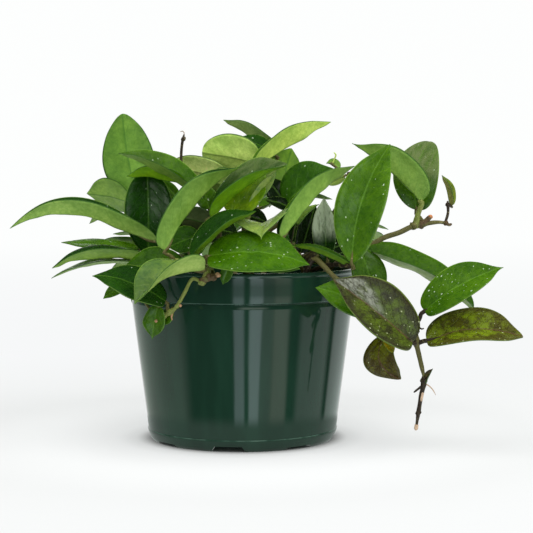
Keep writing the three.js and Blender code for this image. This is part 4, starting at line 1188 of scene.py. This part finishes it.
def potting_mix():
    """The mix: a crumbly top that fills the pot, and loose bark chips half sunk in it."""
    rng = np.random.default_rng(SOIL_SEED)
    top = [(SOIL_RADIUS * (1 - k / SOIL_RINGS), SOIL_LEVEL) for k in range(SOIL_RINGS)]
    shoulder = [(SOIL_BOTTOM_RADIUS, SOIL_BOTTOM), (SOIL_RADIUS + 0.3, SOIL_LEVEL - 4)]
    profile = np.array([(0, SOIL_BOTTOM), *shoulder, *top, (0, SOIL_LEVEL)], float)
    made = lathe("potting_mix_top", profile, SOIL_SEGMENTS, damp_and_shaded_mix())
    places = np.zeros(len(made.data.vertices) * 3)
    made.data.vertices.foreach_get("co", places)
    places = places.reshape(-1, 3) / MM
    crumbs = sum(height * ripples(places[:, :2], length, rng, waves) for height, length, waves in CRUMBS)
    level = soil_height(places[:, 0], places[:, 1]) + crumbs
    places[:, 2] = np.where(places[:, 2] > SOIL_LEVEL - 1, level, places[:, 2])
    made.data.vertices.foreach_set("co", (places * MM).ravel())
    made.data.update()
    chips = Shell()
    for _ in range(CHIPS):
        away = (SOIL_RADIUS - 6) * math.sqrt(rng.uniform())
        angle = rng.uniform(0, 2 * np.pi)
        x, y = away * math.cos(angle), away * math.sin(angle)
        add_chip(chips, (x, y, soil_height(x, y) + 0.6), rng)
    loose = chips.build("bark_chips", [bark()])
    loose.data.set_sharp_from_angle(angle=math.radians(CHIP_SHARP_EDGE))
    for piece in (made, loose):
        stand_for(piece, "potting_mix")


def add_chip(shell, centre, rng):
    """One bark chip: a flat, uneven block at a random slant."""
    size = rng.uniform(1.4, 4.2) * np.array([1, rng.uniform(0.45, 0.8), rng.uniform(0.25, 0.45)])
    lumps = rng.uniform(0.8, 1.2, (CHIP_RINGS, CHIP_SIDES, 1))
    lump = ball(CHIP_RINGS, CHIP_SIDES, 0.45) * lumps * size
    spin = Vector(rng.normal(size=3)).to_track_quat("Z", "Y").to_matrix()[0][0] * 6
    lean = Vector((rng.normal(0, 0.4), rng.normal(0, 0.4), 1)).to_track_quat("Z", "Y").to_matrix()
    c, s = math.cos(spin), math.sin(spin)
    around = np.array([[c, -s, 0], [s, c, 0], [0, 0, 1]])
    rings = lump @ (np.array(lean) @ around).T + np.array(centre)
    shell.add(capped(rings), inside_out(tube_faces(CHIP_RINGS, CHIP_SIDES)))


def vine(name, stems, leaves, knobs=(), mottled=False, number=0):
    """One vine as two pieces, its leaves and its stems, which stand for its CAD node."""
    rng = np.random.default_rng(VINE_SEED + number)
    blades, tubes = Shell(), Shell()
    stem_places = np.vstack([smooth_line(one.points, 40) for one in stems])
    nodes = []
    for shape in leaves:
        add_blade(blades, shape, rng)
        nodes.append(add_stalk(tubes, shape, stem_places))
    for one in stems:
        add_stem(tubes, one, nodes, rng)
    for centre, radius, tint in knobs:
        add_knob(tubes, centre, radius, tint, rng)
    stand_for(blades.build(name + "_leaves", [MATERIALS[key] for key in LEAF_SKINS]), name)
    stand_for(tubes.build(name + "_stems", [MATERIALS["stem"]]), name)


def floor():
    """A plain pale floor: it takes the soft shadow near the pot, its own glow paints a darker patch under the
    pot and a brighter ring round it, and it turns to plain light farther off.
    """
    rings = [(r * math.cos(a), r * math.sin(a), 0) for r in FLOOR_RINGS for a in turns(FLOOR_SIDES)]
    faces = [(0, 1 + j, 1 + (j + 1) % FLOOR_SIDES) for j in range(FLOOR_SIDES)]
    faces += [(1 + a, 1 + d, 1 + c, 1 + b) for a, b, c, d in ring_faces(len(FLOOR_RINGS), FLOOR_SIDES)]
    shell = Shell()
    shell.add(np.array([(0, 0, 0), *rings]) / MM, faces)
    r = new_skin("floor")
    x, y, _ = r.parts(r.place())
    away = r.node("VectorMath", {0: r.vector(x, y, 0.0)}, operation="LENGTH").outputs["Value"]
    # Painted shade and light in the floor's own glow: none under the pot, most in a ring just outside its
    # foot, a little less farther out
    lit = r.maths("ADD", r.step(away, 0.06, 0.074), r.step(away, 0.068, 0.088, 0.0, 0.22))
    lit = r.maths("ADD", lit, r.step(away, 0.12, 0.22, 0.0, -0.26))
    takes_shadow = r.node("BsdfDiffuse", {"Color": FLOOR_DIFFUSE}).outputs[0]
    nearby = r.node("AddShader", {0: takes_shadow, 1: r.glow(FLOOR_OWN_LIGHT, lit)}).outputs[0]
    far_light = r.glow(r.mix(r.step(away, 0.4, 4.0), FLOOR_GLOW, BACKGROUND))
    seen = r.either(r.step(away, 0.2, 0.55), nearby, far_light)
    clear = r.node("BsdfTransparent").outputs[0]
    mirrored = r.either(r.step(away, 0.1, 0.125), r.glow(FLOOR_IN_POT), clear)
    shown = r.either(r.node("LightPath").outputs["Is Glossy Ray"], seen, mirrored)
    r.feed(r.tree.nodes["Material Output"].inputs["Surface"], shown)
    shell.build("floor", [r.owner])


def studio_light():
    """Even light from all round, with a darker room in front whose tall windows show in the pot."""
    world = bpy.data.worlds.new("studio")
    bpy.context.scene.world = world
    r = Recipe(world)
    r.tree.nodes.clear()
    x, y, z = r.parts(r.node("TexCoord").outputs["Generated"])
    bearing = r.times(r.maths("ARCTAN2", x, r.times(y, -1.0)), 180 / math.pi)

    def band(value, low, high, soft):
        return r.times(r.step(value, low - soft, low + soft), r.fall(value, high - soft, high + soft))

    back = r.maths("MAXIMUM", r.step(bearing, 120, 165), r.fall(bearing, -165, -120))
    room = r.mix(back, ROOM, BACKGROUND)
    high_room = r.mix(r.times(back, r.fall(z, 0.3, 0.6)), ROOM, BACKGROUND)
    for low, high, soft, tint in WINDOWS:
        room = r.mix(band(bearing, low, high, soft), room, tint)
    sky = r.mix(r.step(z, -0.22, 0.02), room, high_room)
    low, high, bottom, top, tint = HIGH_WINDOW
    sky = r.mix(r.times(band(bearing, low, high, 6), band(z, bottom, top, 0.08)), sky, tint)
    soft_light = r.mix(r.step(z, -0.3, 0.9), LIGHT_BELOW, LIGHT_ABOVE)
    path = r.node("LightPath")
    seen = r.mix(path.outputs["Is Glossy Ray"], soft_light, sky)
    shown = r.mix(path.outputs["Is Camera Ray"], seen, BACKGROUND)
    light = r.node("Background", {"Color": shown, "Strength": 1.0}).outputs[0]
    r.feed(r.node("OutputWorld").inputs["Surface"], light)


def lamp(name, place, size, power, tint):
    """A soft square lamp that looks at the plant."""
    data = bpy.data.lights.new(name, "AREA")
    data.size = size
    data.energy = power
    data.color = tint
    made = bpy.data.objects.new(name, data)
    made.location = place
    made.rotation_euler = (Vector(LAMP_TARGET) - Vector(place)).to_track_quat("-Z", "Y").to_euler()
    made.visible_glossy = False
    bpy.context.scene.collection.objects.link(made)


def camera():
    """The camera at the photograph's viewing angle."""
    data = bpy.data.cameras.new("camera")
    data.sensor_width = SENSOR_WIDTH
    data.lens = SENSOR_WIDTH * FOCAL_PIXELS / PICTURE_SIZE
    data.clip_start = 0.01
    data.clip_end = 100
    made = bpy.data.objects.new("camera", data)
    made.location = Vector(CAMERA_PLACE) * MM
    made.rotation_euler = (math.radians(90 - CAMERA_TILT), 0, 0)
    bpy.context.scene.collection.objects.link(made)
    bpy.context.scene.camera = made


MATERIALS = {"top": leaf_top(), "under": leaf_under(), "mottled_top": mottled_top(), "stem": stem_bark()}

bpy.context.scene.view_settings.view_transform = "Standard"
camera()
studio_light()
for row in LAMPS:
    lamp(*row)
floor()
pot()
potting_mix()
all_vines = [*FRONT_VINES.items(), *[back_vine(*row) for row in BACK_VINES]]
for number, (name, parts) in enumerate(all_vines):
    vine(name, number=number, **parts)
